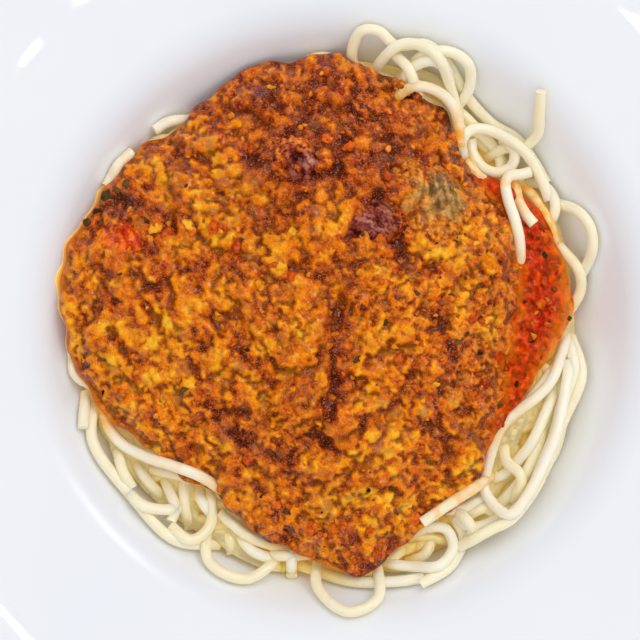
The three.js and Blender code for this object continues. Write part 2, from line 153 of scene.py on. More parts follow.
SAUCE_TOP = 38.5  # height of the meat sauce's dome
SAUCE_LIP = 1.4  # thickness of its edge
EDGE_ROLL = 0.14  # share of its rise that is in the rounded edge
ROLL_POWER, DOME_POWER = 8, 2.2  # how the rounded edge and the dome fall off
LUMP_COUNT, LUMP_SEED = 70, 7
LUMP_FIELD = 65.0  # half side of the square in which places for lumps are drawn
LUMP_RADIUS = (3.5, 7.5)
LUMP_SKEW = 1.5  # makes small lumps more common
LUMP_RISE = 0.34  # height of a lump over its radius
LUMP_SPACING = 0.62  # least distance between two lumps, as a share of their radii
LUMP_FADE = 6  # how fast lumps grow in from the edge
TOMATO_DEPTH, TOMATO_LIP = 2.4, 0.6  # depth of the tomato sauce inside and at its edge
TOMATO_POWER = 10  # how it falls off at the edge
TOMATO_RAGGEDNESS = 0.6  # of its edge, as a share of the meat sauce's
GAP = 0.35  # between the heap and the sauces
SAUCE_GAP = 0.55  # between the sauces and the well

# Folds between spoonfuls: places along each one, then its depth and half width. A fold is painted darker, as
# shade, by a share, over so many of its half widths.
FOLD_SHADE = 0.48
FOLD_SPREAD = 1.8
CREASES = [
    ([(0, 3), (-2, -6), (-1, -17), (-3, -28)], 1.7, 1.3),
    ([(-23, 49), (-14, 43), (-5, 42), (2, 39)], 2.5, 1.3),
    ([(-21, 37), (-11, 32), (-2, 33)], 2.1, 1.2),
    ([(12, 38), (9, 30), (10, 22), (14, 14), (22, 11)], 2.2, 1.3),
    ([(-57, 28), (-46, 27), (-38, 21)], 1.7, 1.1),
    ([(-52, 4), (-43, 7), (-33, 12), (-24, 11)], 1.5, 1.1),
    ([(22, 0), (26, -10), (22, -20), (25, -31)], 1.7, 1.2),
    ([(-30, -18), (-24, -27), (-12, -33)], 1.4, 1.2),
]

# Places where the sauce differs: centre, half size across and up, darkness, which paints broad shade over the
# mound and painted light where it is below 0, then redness, the sauce's own colour.
SHADE_AND_RED_PLACES = [
    ((-11, 35), (9, 7), 0.45, 0.35), ((10, 23), (6, 9), 0.50, 0.30), ((-50, 27), (8, 6), 0.45, 0.20),
    ((-1, -14), (3, 15), 0.40, 0.35), ((-25, -25), (6, 7), 0.25, 0.00), ((-47, -13), (12, 11), -0.25, 0.0),
    ((1, -41), (9, 7), -0.30, 0.0), ((-22, -38), (8, 6), 0.10, 0.30), ((11, -55), (7, 4), 0.15, 0.75),
    ((25, -11), (7, 9), 0.20, 0.00), ((36, -22), (5, 9), 0.15, 0.55), ((0, 50), (30, 11), 0.45, 0.25),
    ((14, 36), (16, 10), 0.25, 0.1), ((24, 15), (7, 5), -0.30, 0.0), ((-32, 2), (10, 10), -0.15, 0.0),
    ((-24, 22), (9, 3), 0.05, 0.35),
    ((18, -38), (9, 8), -0.15, 0.0), ((-49, 17), (7, 6), 0.10, 0.60), ((39, 5), (4, 16), 0.05, 0.65),
]

# ---- strands, lowest first

LEFT_STRANDS = [
    [(-57, -19), (-57, -28), (-48, -41), (-38, -51), (-28, -53)],
    [(-31, -49), (-30, -56), (-21, -60), (-13, -55)],
    [(-62, -7), (-61, -13), (-56, -16)],
    [(-59, -17), (-59, -21), (-59, -25)],
    [(-36, -36), (-36, -43), (-35, -49)],
    [(-30, -39), (-30, -48), (-34, -51), (-39, -48)],
    [(-52, -30), (-50, -35), (-48, -39)],
    [(-48, -33), (-45, -37), (-41, -42)],
    [(-41, -37), (-39, -41), (-38, -44), (-39, -47)],
    [(-33, -39), (-32, -42), (-30, -45)],
    [(-52, -22), (-50, -27)],
    [(-44, -35), (-38, -36), (-31, -38)],
    [(-49, -40), (-45, -43), (-41, -44), (-37, -44)],
    [(-24, -50), (-20, -54), (-15, -56)],
    [(-26, -49), (-25, -55)],
    [(-28, -45), (-20, -51), (-8, -55)],
]
BOTTOM_STRANDS = [
    [(-11, -57), (2, -61), (12, -61), (20, -60)],
    [(-16, -55), (-12, -55), (-7, -55)],
    [(26, -45), (29, -51), (26, -57), (19, -61)],
    [(22, -51), (20, -55), (16, -57)],
    [(16, -53), (12, -56), (10, -57)],
    [(16, -51), (20.3, -48.5), (25, -49), (26.5, -53), (23.4, -56.7), (18, -57.5), (10, -57)],
    [(-11, -54), (-11, -57), (-11, -60)],
    [(23.4, -44), (28, -44.4), (33.4, -42), (36.5, -40)],
    [(30, -46), (34, -44), (37, -46), (42, -44)],
    [(27, -46), (31, -48.5), (36, -47), (40, -44)],
    [(27, -44), (30.3, -47.4), (31, -49.5), (29.5, -52)],
    [(0, -58), (8, -59)],
    [(-5, -56), (-5, -62), (2, -67), (9, -64), (9, -57)],
]
RIGHT_STRANDS = [
    [(51, 27.5), (55, 25.7), (57.7, 22.7), (59, 18.8), (58.8, 14.5), (57.5, 11)],
    [(50, 19), (56, 12), (57, 7), (54, 1)],
    [(44.5, 32.3), (47.8, 31.9), (50, 29.5), (50.8, 26.5), (50, 23.5), (47.8, 22.5)],
    [(53, -12), (51, -20), (49, -29), (46, -37), (41, -44)],
    [(50, -20), (47, -28), (45, -35), (42, -41)],
    [(48, -24), (46, -31), (42, -38), (37, -44)],
    [(56, -9), (56, -16), (53, -23), (51, -30), (48, -36)],
    [(55, -4), (57, -13), (52, -25), (47, -37), (38, -47), (29, -52)],
    [(54, -4), (55, -12), (52, -20), (50, -27), (47, -34), (44, -41)],
    [(28, -53), (34, -49), (40, -46), (47, -37)],
    [(52, -10), (46, -17), (42, -22)],
    [(51, -16), (44, -30), (39, -36), (35, -38)],
    [(39, -29), (39, -33), (42, -36), (42, -39), (40, -42)],
    [(54, -4), (49, -15), (38, -25), (35, -33), (34, -40), (39, -45), (43, -41), (50, -27), (54, -10)],
]
TOP_STRANDS = [
    [(8, 53), (15, 53), (22, 50), (30, 44), (38, 38), (44, 31)],
    [(26, 41), (31, 44), (35, 42), (38, 37), (37, 31)],
    [(12, 52), (16, 57), (22, 56), (26, 51), (32, 45)],
    [
        (4, 57), (3, 62), (5, 66), (9, 66), (13, 63), (20, 63), (25, 59), (30, 52), (36, 46), (42, 42),
        (49, 32),
    ],
    [(16, 55), (17, 59), (21, 61), (26, 61), (30, 58), (30, 53), (27, 49)],
    [(15, 52), (16, 57), (21, 59), (26, 57)],
    [(9, 57), (14, 54), (18, 52), (24, 47)],
    [(13, 61), (16, 57), (18, 52), (19, 48)],
    [(35, 38), (39, 40), (43, 40), (46, 43), (46, 47), (46, 52)],
    [(7, 55), (10, 60), (15, 63), (21, 61), (26, 53), (28, 44), (27, 38)],
    [(-14, 56), (-5, 61), (0, 60), (5, 57)],
    [(31, 42.5), (31.5, 38.6), (34, 35.3), (37.5, 34.3), (40.5, 36), (40.9, 39), (38.5, 42)],
    [
        (33, 34), (29.5, 37.5), (28.4, 41), (30.5, 43.9), (35, 44.1), (40.5, 41), (44, 38), (47, 33.4),
        (49.5, 28),
    ],
    [(-54, 31), (-51, 36), (-48, 39)],
    [(-45, 40), (-42, 42), (-38, 42)],
    [(-43, 44), (-40, 46), (-34, 47)],
]
COATED_STRANDS = [
    [(42, 32), (45, 29.5), (47, 26.5), (48.7, 23.5), (50, 20.5), (51.5, 17)],
]
STRANDS_OVER_SAUCE = [
    [(-55, -20), (-53.5, -25), (-50.5, -28.8), (-45, -31.6), (-37.5, -33.8), (-32, -36), (-26, -40.6)],
    [(12.5, 50.5), (15.5, 52.8), (19, 53.4), (23.5, 52), (26.4, 49), (27.6, 44.5), (28, 40)],
    [(19.1, -46.7), (24.9, -42.8), (31, -39), (37, -36.2)],
    [(29, 39), (30.2, 35.8), (32.4, 33.4), (35.4, 31.6), (38, 31)],
    [(37.8, 30), (38.6, 32.4), (40.4, 32.8), (41.4, 30.5), (41.9, 27.5), (43.4, 24.3), (45.2, 22)],
    [
        (44.6, 34.3), (42, 33.6), (39.8, 33.4), (38.7, 31.8), (39, 28.3), (40.4, 23.2), (41.5, 18.8),
        (42.3, 9.2),
    ],
]
# Cut ends that show; every other end dives under its neighbours.
OPEN_ENDS = [(46, 52), (-59, -25), (44.6, 34.3), (45.2, 22), (19.1, -46.7), (19, -61)]

# ---- pieces in the sauce

# Pieces that stand out of the sauce: place, radii, turn about +Z in degrees and seed, then the middle and
# radius of the part that the sauce leaves bare.
PIECES = {
    "meat_chunk": ((20, 27), (9, 6.5, 4.5), -50, 11, (24, 28.5), 4.2),
    "meat_piece_1": ((-9, 36), (5, 4.2, 3), -40, 12, (-7.8, 34.8), 4.3),
    "meat_piece_2": ((7, 21), (6, 4, 3), 10, 13, (7, 22), 5.5),
    "tomato_piece": ((-50, 18), (4.6, 3.8, 2.6), -20, 14, (-48.8, 17.6), 3.3),
}
PIECE_LIFT = 0.25  # share that its middle is raised by
PIECE_SHOW = 0.32  # share of a piece's height that stands out of the sauce
PIECE_SINK = 1.4  # how far a piece's rim lies under the sauce
PIECE_SPREAD = 1.3  # how much wider a piece is than the part of it that shows

# Small things that show singly: place and radius.
TOMATO_BITS = [
    ((-23, 17), 2.0), ((-26, 20.5), 1.7), ((-28.5, 20.8), 1.4), ((-11, 9), 1.6), ((31, 44), 1.2),
]
PALE_BITS = [
    ((-10, 19.5), 1.7), ((-42, 21), 1.7), ((-34, 21), 1.6), ((-13, 12), 1.3), ((-18, 8), 1.2),
]
HERB_FLAKES = [
    ((-53.4, 28.7), 1.5), ((-51.2, 30.0), 1.2), ((-49.2, 31.2), 0.9), ((-58.3, 22.4), 1.2),
    ((-55.9, 24.9), 1.0), ((-54, -9), 0.8), ((-35, -16), 0.8), ((-21, -7), 1.0), ((-12, -44), 0.8),
    ((4, -9), 0.9), ((10, -1), 0.8), ((12, -39), 1.1), ((27, -5), 1.0), ((37, -20), 0.9), ((41, -15), 0.9),
    ((42, -2), 0.6), ((43, 4), 0.6), ((47, -9), 0.7), ((48, 15), 0.7), ((50, 7), 0.6), ((54, 0), 0.6),
]


# ---- curves and fields


def seeded(seed):
    """A small seeded generator of numbers from 0 to 1 (mulberry32)."""
    state = seed & 0xFFFFFFFF
    mask = 0xFFFFFFFF
    while True:
        state = (state + 0x6D2B79F5) & mask
        mixed = ((state ^ (state >> 15)) * (state | 1)) & mask
        mixed ^= (mixed + (((mixed ^ (mixed >> 7)) * (mixed | 61)) & mask)) & mask
        yield ((mixed ^ (mixed >> 14)) & mask) / 2**32


SPAN_STEPS = 24  # steps from one place of a curve to the next
OUTLINE_STEPS = 720  # steps round an outline
CREASE_STEPS = 24  # steps along a fold
NOISE_SIDE = 128  # cells after which noise repeats


def curve_through(places, closed, count):
    """Centripetal Catmull-Rom curve as count + 1 points at equal distances along it."""
    knots = np.array(places, dtype=float)
    if closed:
        knots = np.vstack([knots[-1:], knots, knots[:2]])
    else:
        knots = np.vstack([2 * knots[0] - knots[1], knots, 2 * knots[-1] - knots[-2]])
    share = (np.arange(SPAN_STEPS) / SPAN_STEPS)[:, None]
    pieces = []
    for before, start, end, after in zip(knots, knots[1:], knots[2:], knots[3:]):
        spans = [max(math.dist(p, q), 1e-6) ** 0.5 for p, q in ((before, start), (start, end), (end, after))]
        first, span, last = spans
        leave = (start - before) / first - (end - before) / (first + span) + (end - start) / span
        arrive = (end - start) / span - (after - start) / (span + last) + (after - end) / last
        pieces.append(
            start
            + leave * span * share
            + (3 * (end - start) - (2 * leave + arrive) * span) * share**2
            + (2 * (start - end) + (leave + arrive) * span) * share**3
        )
    dense = np.vstack([*pieces, knots[-2:-1]])
    travelled = np.concatenate([[0], np.cumsum(np.linalg.norm(np.diff(dense, axis=0), axis=1))])
    stops = np.linspace(0, travelled[-1], count + 1)
    return np.stack([np.interp(stops, travelled, dense[:, axis]) for axis in (0, 1)], axis=1)


def polar(x, y):
    """Distance from the centre and bearing of places in plan."""
    return np.hypot(x, y), np.arctan2(y, x)


def reach_of(places):
    """The distance from the centre to a closed outline, as a function of the bearing."""
    reaches, bearings = polar(*curve_through(places, True, OUTLINE_STEPS).T)
    order = np.argsort(bearings)
    return lambda bearing: np.interp(bearing, bearings[order], reaches[order], period=TURN)


def between(limits, share):
    """The value a share of the way between two limits."""
    return limits[0] + (limits[1] - limits[0]) * share


def rising(value, start, span):
    """From 0 up to a start to 1 beyond a span."""
    return np.clip((value - start) / span, 0, 1)


def value_noise(x, y, size, seed):
    """Smooth noise from -1 to 1, with features of about the given size."""
    side = NOISE_SIDE
    table = np.random.default_rng(seed).uniform(-1, 1, (side, side))
    u, v = x / size + side, y / size + side
    column, row = np.floor(u).astype(int), np.floor(v).astype(int)
    across, up = u - column, v - row
    across, up = across * across * (3 - 2 * across), up * up * (3 - 2 * up)

    def corner(right, above):
        return table[(row + above) % side, (column + right) % side]

    low = corner(0, 0) * (1 - across) + corner(1, 0) * across
    high = corner(0, 1) * (1 - across) + corner(1, 1) * across
    return low * (1 - up) + high * up


def layered(x, y, layers):
    """Layers of noise on one another: how strong each one is, its features' size and its seed."""
    return sum(strength * value_noise(x, y, size, seed) for strength, size, seed in layers)


class Grid:
    """A square grid of cells over the plate, centred on it."""

    def __init__(self, reach, cell):
        self.reach = reach
        self.cell = cell
        axis = np.arange(-reach, reach + cell / 2, cell)
        self.x, self.y = np.meshgrid(axis, axis)
        self.count = len(axis)
        self.radius, self.bearing = polar(self.x, self.y)

    def window(self, x, y, radius):
        """The slices of rows and columns within a radius of a place."""
        spans = []
        for centre in (y, x):
            low = math.floor((centre - radius + self.reach) / self.cell)
            high = math.ceil((centre + radius + self.reach) / self.cell) + 1
            spans.append(slice(max(0, low), min(self.count, high)))
        return tuple(spans)

    def at(self, field, x, y):
        """The field's value at places between the cells."""
        last = self.count - 1.001
        column, row = (np.clip((np.asarray(v) + self.reach) / self.cell, 0, last) for v in (x, y))
        left, low = column.astype(int), row.astype(int)
        across, up = column - left, row - low
        lower = field[low, left] * (1 - across) + field[low, left + 1] * across
        upper = field[low + 1, left] * (1 - across) + field[low + 1, left + 1] * across
        return lower * (1 - up) + upper * up

    def blurred(self, field, size):
        """The field smoothed over a size."""
        waves = np.fft.rfftfreq(self.count, self.cell), np.fft.fftfreq(self.count, self.cell)
        fade = np.exp(-2 * (math.pi * size) ** 2 * (waves[1][:, None] ** 2 + waves[0][None, :] ** 2))
        return np.fft.irfft2(np.fft.rfft2(field) * fade, s=field.shape)


def distance_to_path(grid, places):
    """The distance from each cell to a line through places."""
    points = curve_through(places, False, CREASE_STEPS)
    nearest = np.full(grid.x.shape, np.inf)
    for (ax, ay), (bx, by) in zip(points, points[1:]):
        along = (bx - ax) ** 2 + (by - ay) ** 2
        share = np.clip(((grid.x - ax) * (bx - ax) + (grid.y - ay) * (by - ay)) / along, 0, 1)
        away = np.hypot(grid.x - ax - share * (bx - ax), grid.y - ay - share * (by - ay))
        nearest = np.minimum(nearest, away)
    return nearest


# ---- surfaces of the food

meat_reach = reach_of(SHARED_EDGE + MEAT_SIDE)
sauce_reach = reach_of(SHARED_EDGE + TOMATO_SIDE)
heap_reach = reach_of(HEAP_OUTLINE)


def well_at(radius, clearance):
    """Height of the well's surface, moved inwards by a clearance."""
    bend, shoulder = FLOOR_BEND - clearance, SHOULDER + clearance
    outward = np.maximum(0, radius - FLOOR_RADIUS)
    on_bend = np.minimum(outward, bend * math.sin(WALL_SLOPE))
    low = FOOT_BEND[1] - np.sqrt(bend**2 - on_bend**2) + (outward - on_bend) * math.tan(WALL_SLOPE)
    inward = np.clip(HEAD_BEND[0] - radius, 0, shoulder)
    high = HEAD_BEND[1] + np.sqrt(shoulder**2 - inward**2)
    return np.where(inward < shoulder * math.sin(WALL_SLOPE), high, low)


def heap_top(radius, bearing):
    """Height of the bare heap: a low dome with a steep edge."""
    reach = heap_reach(bearing)
    share = np.minimum(1, radius / reach)
    edge = well_at(reach, HEAP_GAP) + HEAP_EDGE
    return edge + (HEAP_TOP - edge) * (1 - share**HEAP_FLATNESS) ** HEAP_ROUNDING


def under_sauce(radius, bearing):
    """Height of what the sauces lie on: the heap, and beyond its edge the well."""
    well = well_at(radius, SAUCE_GAP)
    return np.where(radius <= heap_reach(bearing), np.maximum(well, heap_top(radius, bearing) + GAP), well)


def ragged(bearing, strength=1.0):
    """How far the sauce's edge strays from its smooth outline."""
    stray = sum(far * np.sin(count * bearing + start) for far, count, start in EDGE_WAVES)
    for (x, y), rise, width in EDGE_LOBES:
        away = (bearing - math.atan2(y, x) + math.pi) % TURN - math.pi
        stray = stray + rise * np.exp(-((away / math.radians(width)) ** 2))
    return stray * strength


def meat_edge(bearing):
    """The distance from the centre to the meat sauce's edge."""
    return meat_reach(bearing) + ragged(bearing)


def tomato_edge(bearing):
    """The distance from the centre to the outer edge of both sauces together."""
    return sauce_reach(bearing) + ragged(bearing, TOMATO_RAGGEDNESS)


@lru_cache(maxsize=None)
def lumps():
    """The large lumps of mince under the sauce's surface."""
    random = seeded(LUMP_SEED)
    found = []
    while len(found) < LUMP_COUNT:
        x = between((-LUMP_FIELD, LUMP_FIELD), next(random))
        y = between((-LUMP_FIELD, LUMP_FIELD), next(random))
        radius = between(LUMP_RADIUS, next(random) ** LUMP_SKEW)
        inside = math.hypot(x, y) + radius / 2 < meat_reach(math.atan2(y, x))
        if inside and all(math.dist((x, y), one[:2]) > LUMP_SPACING * (one[2] + radius) for one in found):
            found.append((x, y, radius))
    return found


def meat_level(x, y):
    """Height of the meat sauce's broad surface: a rounded edge, then a dome with lumps."""
    radius, bearing = polar(x, y)
    reach = meat_edge(bearing)
    share = np.minimum(1, radius / reach)
    lip = np.maximum(heap_top(reach, bearing) + GAP, well_at(reach, SAUCE_GAP)) + SAUCE_LIP
    rise = np.zeros_like(share)
    for at_x, at_y, size in lumps():
        away = np.hypot(x - at_x, y - at_y) / size
        rise = np.maximum(rise, LUMP_RISE * size * np.sqrt(np.maximum(0, 1 - away * away)))
    roll = EDGE_ROLL * np.sqrt(1 - share**ROLL_POWER)
    dome = (1 - EDGE_ROLL) * (1 - share**DOME_POWER)
    return lip + (SAUCE_TOP - lip) * (roll + dome) + rise * np.minimum(1, LUMP_FADE * (1 - share))


def tomato_level(radius, bearing):
    """Height of the tomato sauce: a thin coat with a rounded edge."""
    share = np.minimum(1, radius / tomato_edge(bearing))
    depth = between((TOMATO_LIP, TOMATO_DEPTH), np.sqrt(1 - share**TOMATO_POWER))
    return under_sauce(radius, bearing) + depth


# ---- laying the strands

PILE_REACH, PILE_CELL = 72, 0.5  # half side of the heights' grid, and its cells
PILE_GAP = 0.9  # between the well and the pile's first heights
STRAND_STEP = 0.9  # distance of the points along a strand
STRAND_CLEARANCE = 0.2  # between a strand and the well
SMOOTHINGS = 3  # how often a strand's heights are evened out
# How strands lie beside the sauces and on them: how far they sink into what they lie on, how often a sag is
# lifted out, how far an end dives and over what length.
BESIDE_SAUCE = {"bedding": 0.4, "stiffness": 10, "dive": 2.4, "reach": 2.6}
ON_SAUCE = {"bedding": 0.3, "stiffness": 30, "dive": 4.0, "reach": 6.0}
STAIN_REACH, STAIN_STRENGTH = 6.5, 1.5  # of the sauce on a strand that comes out of it, from that end
EDGE_STAIN = (0.2, 0.7)  # least and greatest stain of a strand beside the sauces
EDGE_STAIN_START, EDGE_STAIN_REACH = 1.5, 1.4  # how far in from their edge it starts, and how fast it fades
DEPTH_SHADE = (0.6, 3.2)  # how far under the heap's top the pasta starts to be painted yellower, as the shade between strands, and over how much
GIRTHS = (0.94, 1.05)  # least and greatest girth of a strand, as a share of the set one
GIRTH_SWAY = 0.05  # how much it changes along a strand

FILLERS = {**BESIDE_SAUCE, "bedding": 0.9, "cover": 2.5}  # cover keeps them under the heap's top
FILLER_SEED, FINISH_SEED = 21, 41  # of the hidden strands' places, and of every strand's girth and colour
FILLER_PLACES = (5, 11)  # how many places a hidden strand has, the second not included
FILLER_START = (0.72, 0.98)  # where a hidden strand starts, as a share of the heap's reach
FILLER_LIMITS = (0.66, 0.98)  # the part of the heap's reach that it keeps to
FILLER_STEP = (5, 8)  # distance from one of its places to the next
FILLER_WANDER = 0.075


class Pile:
    """What the strands lie on, as heights on a grid that rise as strands are laid."""

    def __init__(self, girth):
        self.grid = Grid(PILE_REACH, PILE_CELL)
        self.girth = girth
        grid = self.grid
        well = well_at(grid.radius, PILE_GAP)
        core = heap_top(grid.radius, grid.bearing) - HEAP_SINK
        self.heights = np.where(grid.radius < heap_reach(grid.bearing), np.maximum(well, core), well)

    def under(self, x, y):
        """The window of cells under a ball at a place, and half the ball's height in each."""
        window = self.grid.window(x, y, self.girth)
        away = (self.grid.x[window] - x) ** 2 + (self.grid.y[window] - y) ** 2
        return window, np.where(away < self.girth**2, np.sqrt(np.maximum(0, self.girth**2 - away)), -np.inf)

    def lay(self, places, bedding, stiffness, dive, reach, cover=None):
        """Lays one strand along its places and gives its centre line. Cover keeps it under the heap's top."""
        length = sum(math.dist(p, q) for p, q in zip(places, places[1:]))
        plan = curve_through(places, False, math.ceil(length / STRAND_STEP))
        heights = np.array([self.resting(x, y) for x, y in plan]) - bedding
        for _ in range(stiffness):
            heights[1:-1] = np.maximum(heights[1:-1], (heights[:-2] + heights[2:]) / 2)
        for _ in range(SMOOTHINGS):
            heights[1:-1] = (heights[:-2] + 2 * heights[1:-1] + heights[2:]) / 4
        for end in (0, -1):
            if tuple(places[end]) not in OPEN_ENDS:
                away = np.linalg.norm(plan - plan[end], axis=1)
                heights = heights - dive * np.exp(-((away / reach) ** 2))
        radius, bearing = polar(*plan.T)
        if cover:
            heights = np.minimum(heights, heap_top(radius, bearing) - cover)
        heights = np.maximum(heights, well_at(radius, self.girth + STRAND_CLEARANCE))
        for (x, y), z in zip(plan, heights):
            window, rise = self.under(x, y)
            self.heights[window] = np.maximum(self.heights[window], z + rise)
        return np.column_stack([plan, heights])

    def resting(self, x, y):
        """Height of the middle of a ball that rests on the pile at a place."""
        window, rise = self.under(x, y)
        return (self.heights[window] + rise).max()


def filler_places(random):
    """Places along a strand that curls through the hidden part of the heap."""
    bearing = random.uniform(0, TURN)
    depth = random.uniform(*FILLER_START)
    way = random.choice([-1, 1])
    places = []
    for _ in range(random.integers(*FILLER_PLACES)):
        reach = heap_reach(bearing) * depth
        places.append((reach * math.cos(bearing), reach * math.sin(bearing)))
        bearing += way * random.uniform(*FILLER_STEP) / reach
        depth = min(FILLER_LIMITS[1], max(FILLER_LIMITS[0], depth + random.normal(0, FILLER_WANDER)))
    return places


@lru_cache(maxsize=None)
def strands_beside(girth, fillers):
    """The strands beside the sauces, from the hidden ones up, and the pile that they make."""
    pile = Pile(girth)
    random = np.random.default_rng(FILLER_SEED)
    laid = [pile.lay(filler_places(random), **FILLERS) for _ in range(fillers)]
    for places in LEFT_STRANDS + BOTTOM_STRANDS + RIGHT_STRANDS + TOP_STRANDS + COATED_STRANDS:
        laid.append(pile.lay(places, **BESIDE_SAUCE))
    return laid, pile


@lru_cache(maxsize=None)
def strands_over(girth, fillers):
    """The strands that lie on the two sauces."""
    pile = Pile(girth)
    _, beside = strands_beside(girth, fillers)
    grid = pile.grid
    relief = sauce_relief()
    meat = relief["grid"].at(relief["height"], grid.x, grid.y)
    tomato = tomato_level(grid.radius, grid.bearing)
    sauces = np.where(grid.radius < tomato_edge(grid.bearing), tomato, 0)
    sauces = np.where(grid.radius < meat_edge(grid.bearing), np.maximum(sauces, meat), sauces)
    pile.heights = np.maximum(beside.heights, sauces)
    return [pile.lay(places, **ON_SAUCE) for places in STRANDS_OVER_SAUCE]


# ---- relief of the meat sauce

RELIEF_REACH, RELIEF_CELL = 69, 0.25  # half side of the relief's grid, and its cells

# Sizes of crumb, largest first: how many, smallest and largest radius, lift of its foot over its radius,
# height over its radius, and how strongly its own tone shows.
CRUMB_SIZES = (
    (240, (1.8, 3.4), -0.05, 0.44, 0.4),
    (1900, (0.8, 1.7), 0.05, 0.46, 0.6),
    (11000, (0.33, 0.72), 0.05, 0.64, 0.85),
)
CRUMB_SEED = 5
CRUMB_SKEW = 1.6  # makes small crumbs more common
CRUMB_MARGIN = 0.8  # how far a crumb keeps in from the edge, over its radius
CRUMB_UNEVENNESS = 0.20  # how much the lift of a crumb's foot differs, over its radius
CRUMB_STRETCH = (1.1, 2.3)  # length over width
CRUMB_SLIMMING = 0.4  # power of the stretch that a crumb's radius loses
CRUMB_TURN = 0.4  # how much its direction differs from the flow's, in radians
CRUMB_TOP_LIGHT, TOP_LIGHT_LEVEL = 0.34, 0.6  # painted light: how much brighter the middle of a crumb is painted than its rim
MIDDLE_TONE = 0.52
# Shares of the crumbs that are yellow with oil, orange, brown and nearly black, with how bright each is.
CRUMB_TONES = ((0.20, 0.84), (0.38, 0.62), (0.26, 0.40), (0.16, 0.10))
TONE_SPREAD = 0.07
MOOD_SHADE = 0.35  # how much darker a crumb is painted where the painted shade of its place is deepest
FLESHY = (0.12, 0.25)  # share of the crumbs that are bare meat, and what a place with painted shade adds
REDDISH = (0.03, 0.40)  # share of the crumbs that are tomato, and what a red place adds

OILY_BEARING = math.radians(178)  # the middle of the stretch of edge where the oil gathers
OILY_START, OILY_WIDTH = 0.3, 0.6  # how far in from the edge it starts to fade, and how fast it does
OILY_SPAN, OILY_ENDS = 0.42, 1.9  # along the edge it ends at so many spans from the middle, in radians
OILY_CALM = 0.85  # how much it levels the sauce
OILY_SINK = 1.2  # how far it sinks a crumb, over its radius

EDGE_FADE = 1.3  # how far in from the edge the relief is full
CLUMP_RISE = 0.9
# Cracks: their width and depth, and how much darker they are painted, as shade.
CRACK_WIDTH, CRACK_DEPTH, CRACK_SHADE = 0.12, 1.6, 0.25
BARE_GLOW = 0.34  # how bright the sauce between the crumbs is
BARE_RED, PATCH_RED = 0.25, 0.3  # how red it is, and what its reddest patches add
POOL_DEPTH = 0.62  # how far under the mean height round it a crevice is full of oil
POOL_ROUNDING = 0.16  # how softly the crumbs meet the oil
TONE_BLUR, HEIGHT_BLUR = 0.22, 0.17  # how far the finished tones and heights are smoothed
WIDE_BLUR, CLOSE_BLUR = 1.3, 0.55  # how far round a place its basins and crevices are judged
CREVICE, BASIN = (0.04, 0.22), (0.05, 0.6)  # depth at which each starts, and span to its full strength
CREST = (0, 0.8)  # the same for height, for the crests that are painted lighter
CREVICE_SHARE, CRACK_SHARE = 0.70, 0.5  # how much of the hollows' painted shade they make up
OWN_RED, PLACE_RED = 0.5, 0.6  # how much of the red comes from the crumbs, and from the place

# Layers of noise: how strong each one is, the size of its features and its seed.
FOLD_WAVER = [(0.8, 2.4, 30)]
CLUMPS = [(1.0, 4.2, 31), (0.6, 2.1, 32)]
GLOW_WAVER = [(0.12, 1.6, 33)]
RED_PATCHES = [(1.0, 6, 34)]
CRUMB_WARPS = ([(0.75, 1.2, 35), (0.30, 0.5, 42)], [(0.75, 1.2, 36), (0.30, 0.5, 43)])
FINE_GRAIN = [(0.07, 0.45, 37)]
CRACK_PATHS = [(1.0, 5.5, 38), (0.25, 1.5, 39)]
CRACKED_PLACES, CRACKED_SHARE = [(1.4, 7, 40)], 0.45
FLOW, FLOW_BEARING = [(1.7, 20, 41)], -0.3  # direction in which crumbs are drawn out

FILM, FILM_FADE = (0.3, 0.7), 1.2  # thickness of sauce over a strand, at the edge and so far in from it
STRANDS_SHOW = (3.5, 2)  # how far in from the edge strands stop to show through, and over how much


def splat(fields, grid, warp, crumb):
    """Raises one crumb as an uneven cap, marks the cells that it covers, and paints its middle lighter than
    its rim as painted light.
    """
    x, y, size, stretch, turn, foot, rise, marks = crumb
    window = grid.window(x, y, size * stretch)
    dx = grid.x[window] - x + warp[0][window]
    dy = grid.y[window] - y + warp[1][window]
    u = (dx * math.cos(turn) + dy * math.sin(turn)) / stretch
    v = dy * math.cos(turn) - dx * math.sin(turn)
    share = (u * u + v * v) / (size * size)
    round_top = np.sqrt(np.maximum(0, 1 - share))
    cap = np.where(share < 1, foot + rise * round_top, -np.inf)
    wins = cap > fields["height"][window]
    fields["height"][window][wins] = cap[wins]
    for name, value in marks.items():
        fields[name][window][wins] = value
    # Painted light: the crumb's middle is painted lighter than its rim.
    fields["glow"][window][wins] += CRUMB_TOP_LIGHT * (round_top[wins] - TOP_LIGHT_LEVEL)


def tone_of(random, painted_dark):
    """How bright a crumb is, drawn from the shares above and shifted by the painted light and shade of its
    place.
    """
    draw = random.random()
    for share, bright in CRUMB_TONES:
        if draw < share:
            return bright + TONE_SPREAD * random.normal() - MOOD_SHADE * painted_dark
        draw -= share
    return 0.5 - MOOD_SHADE * painted_dark


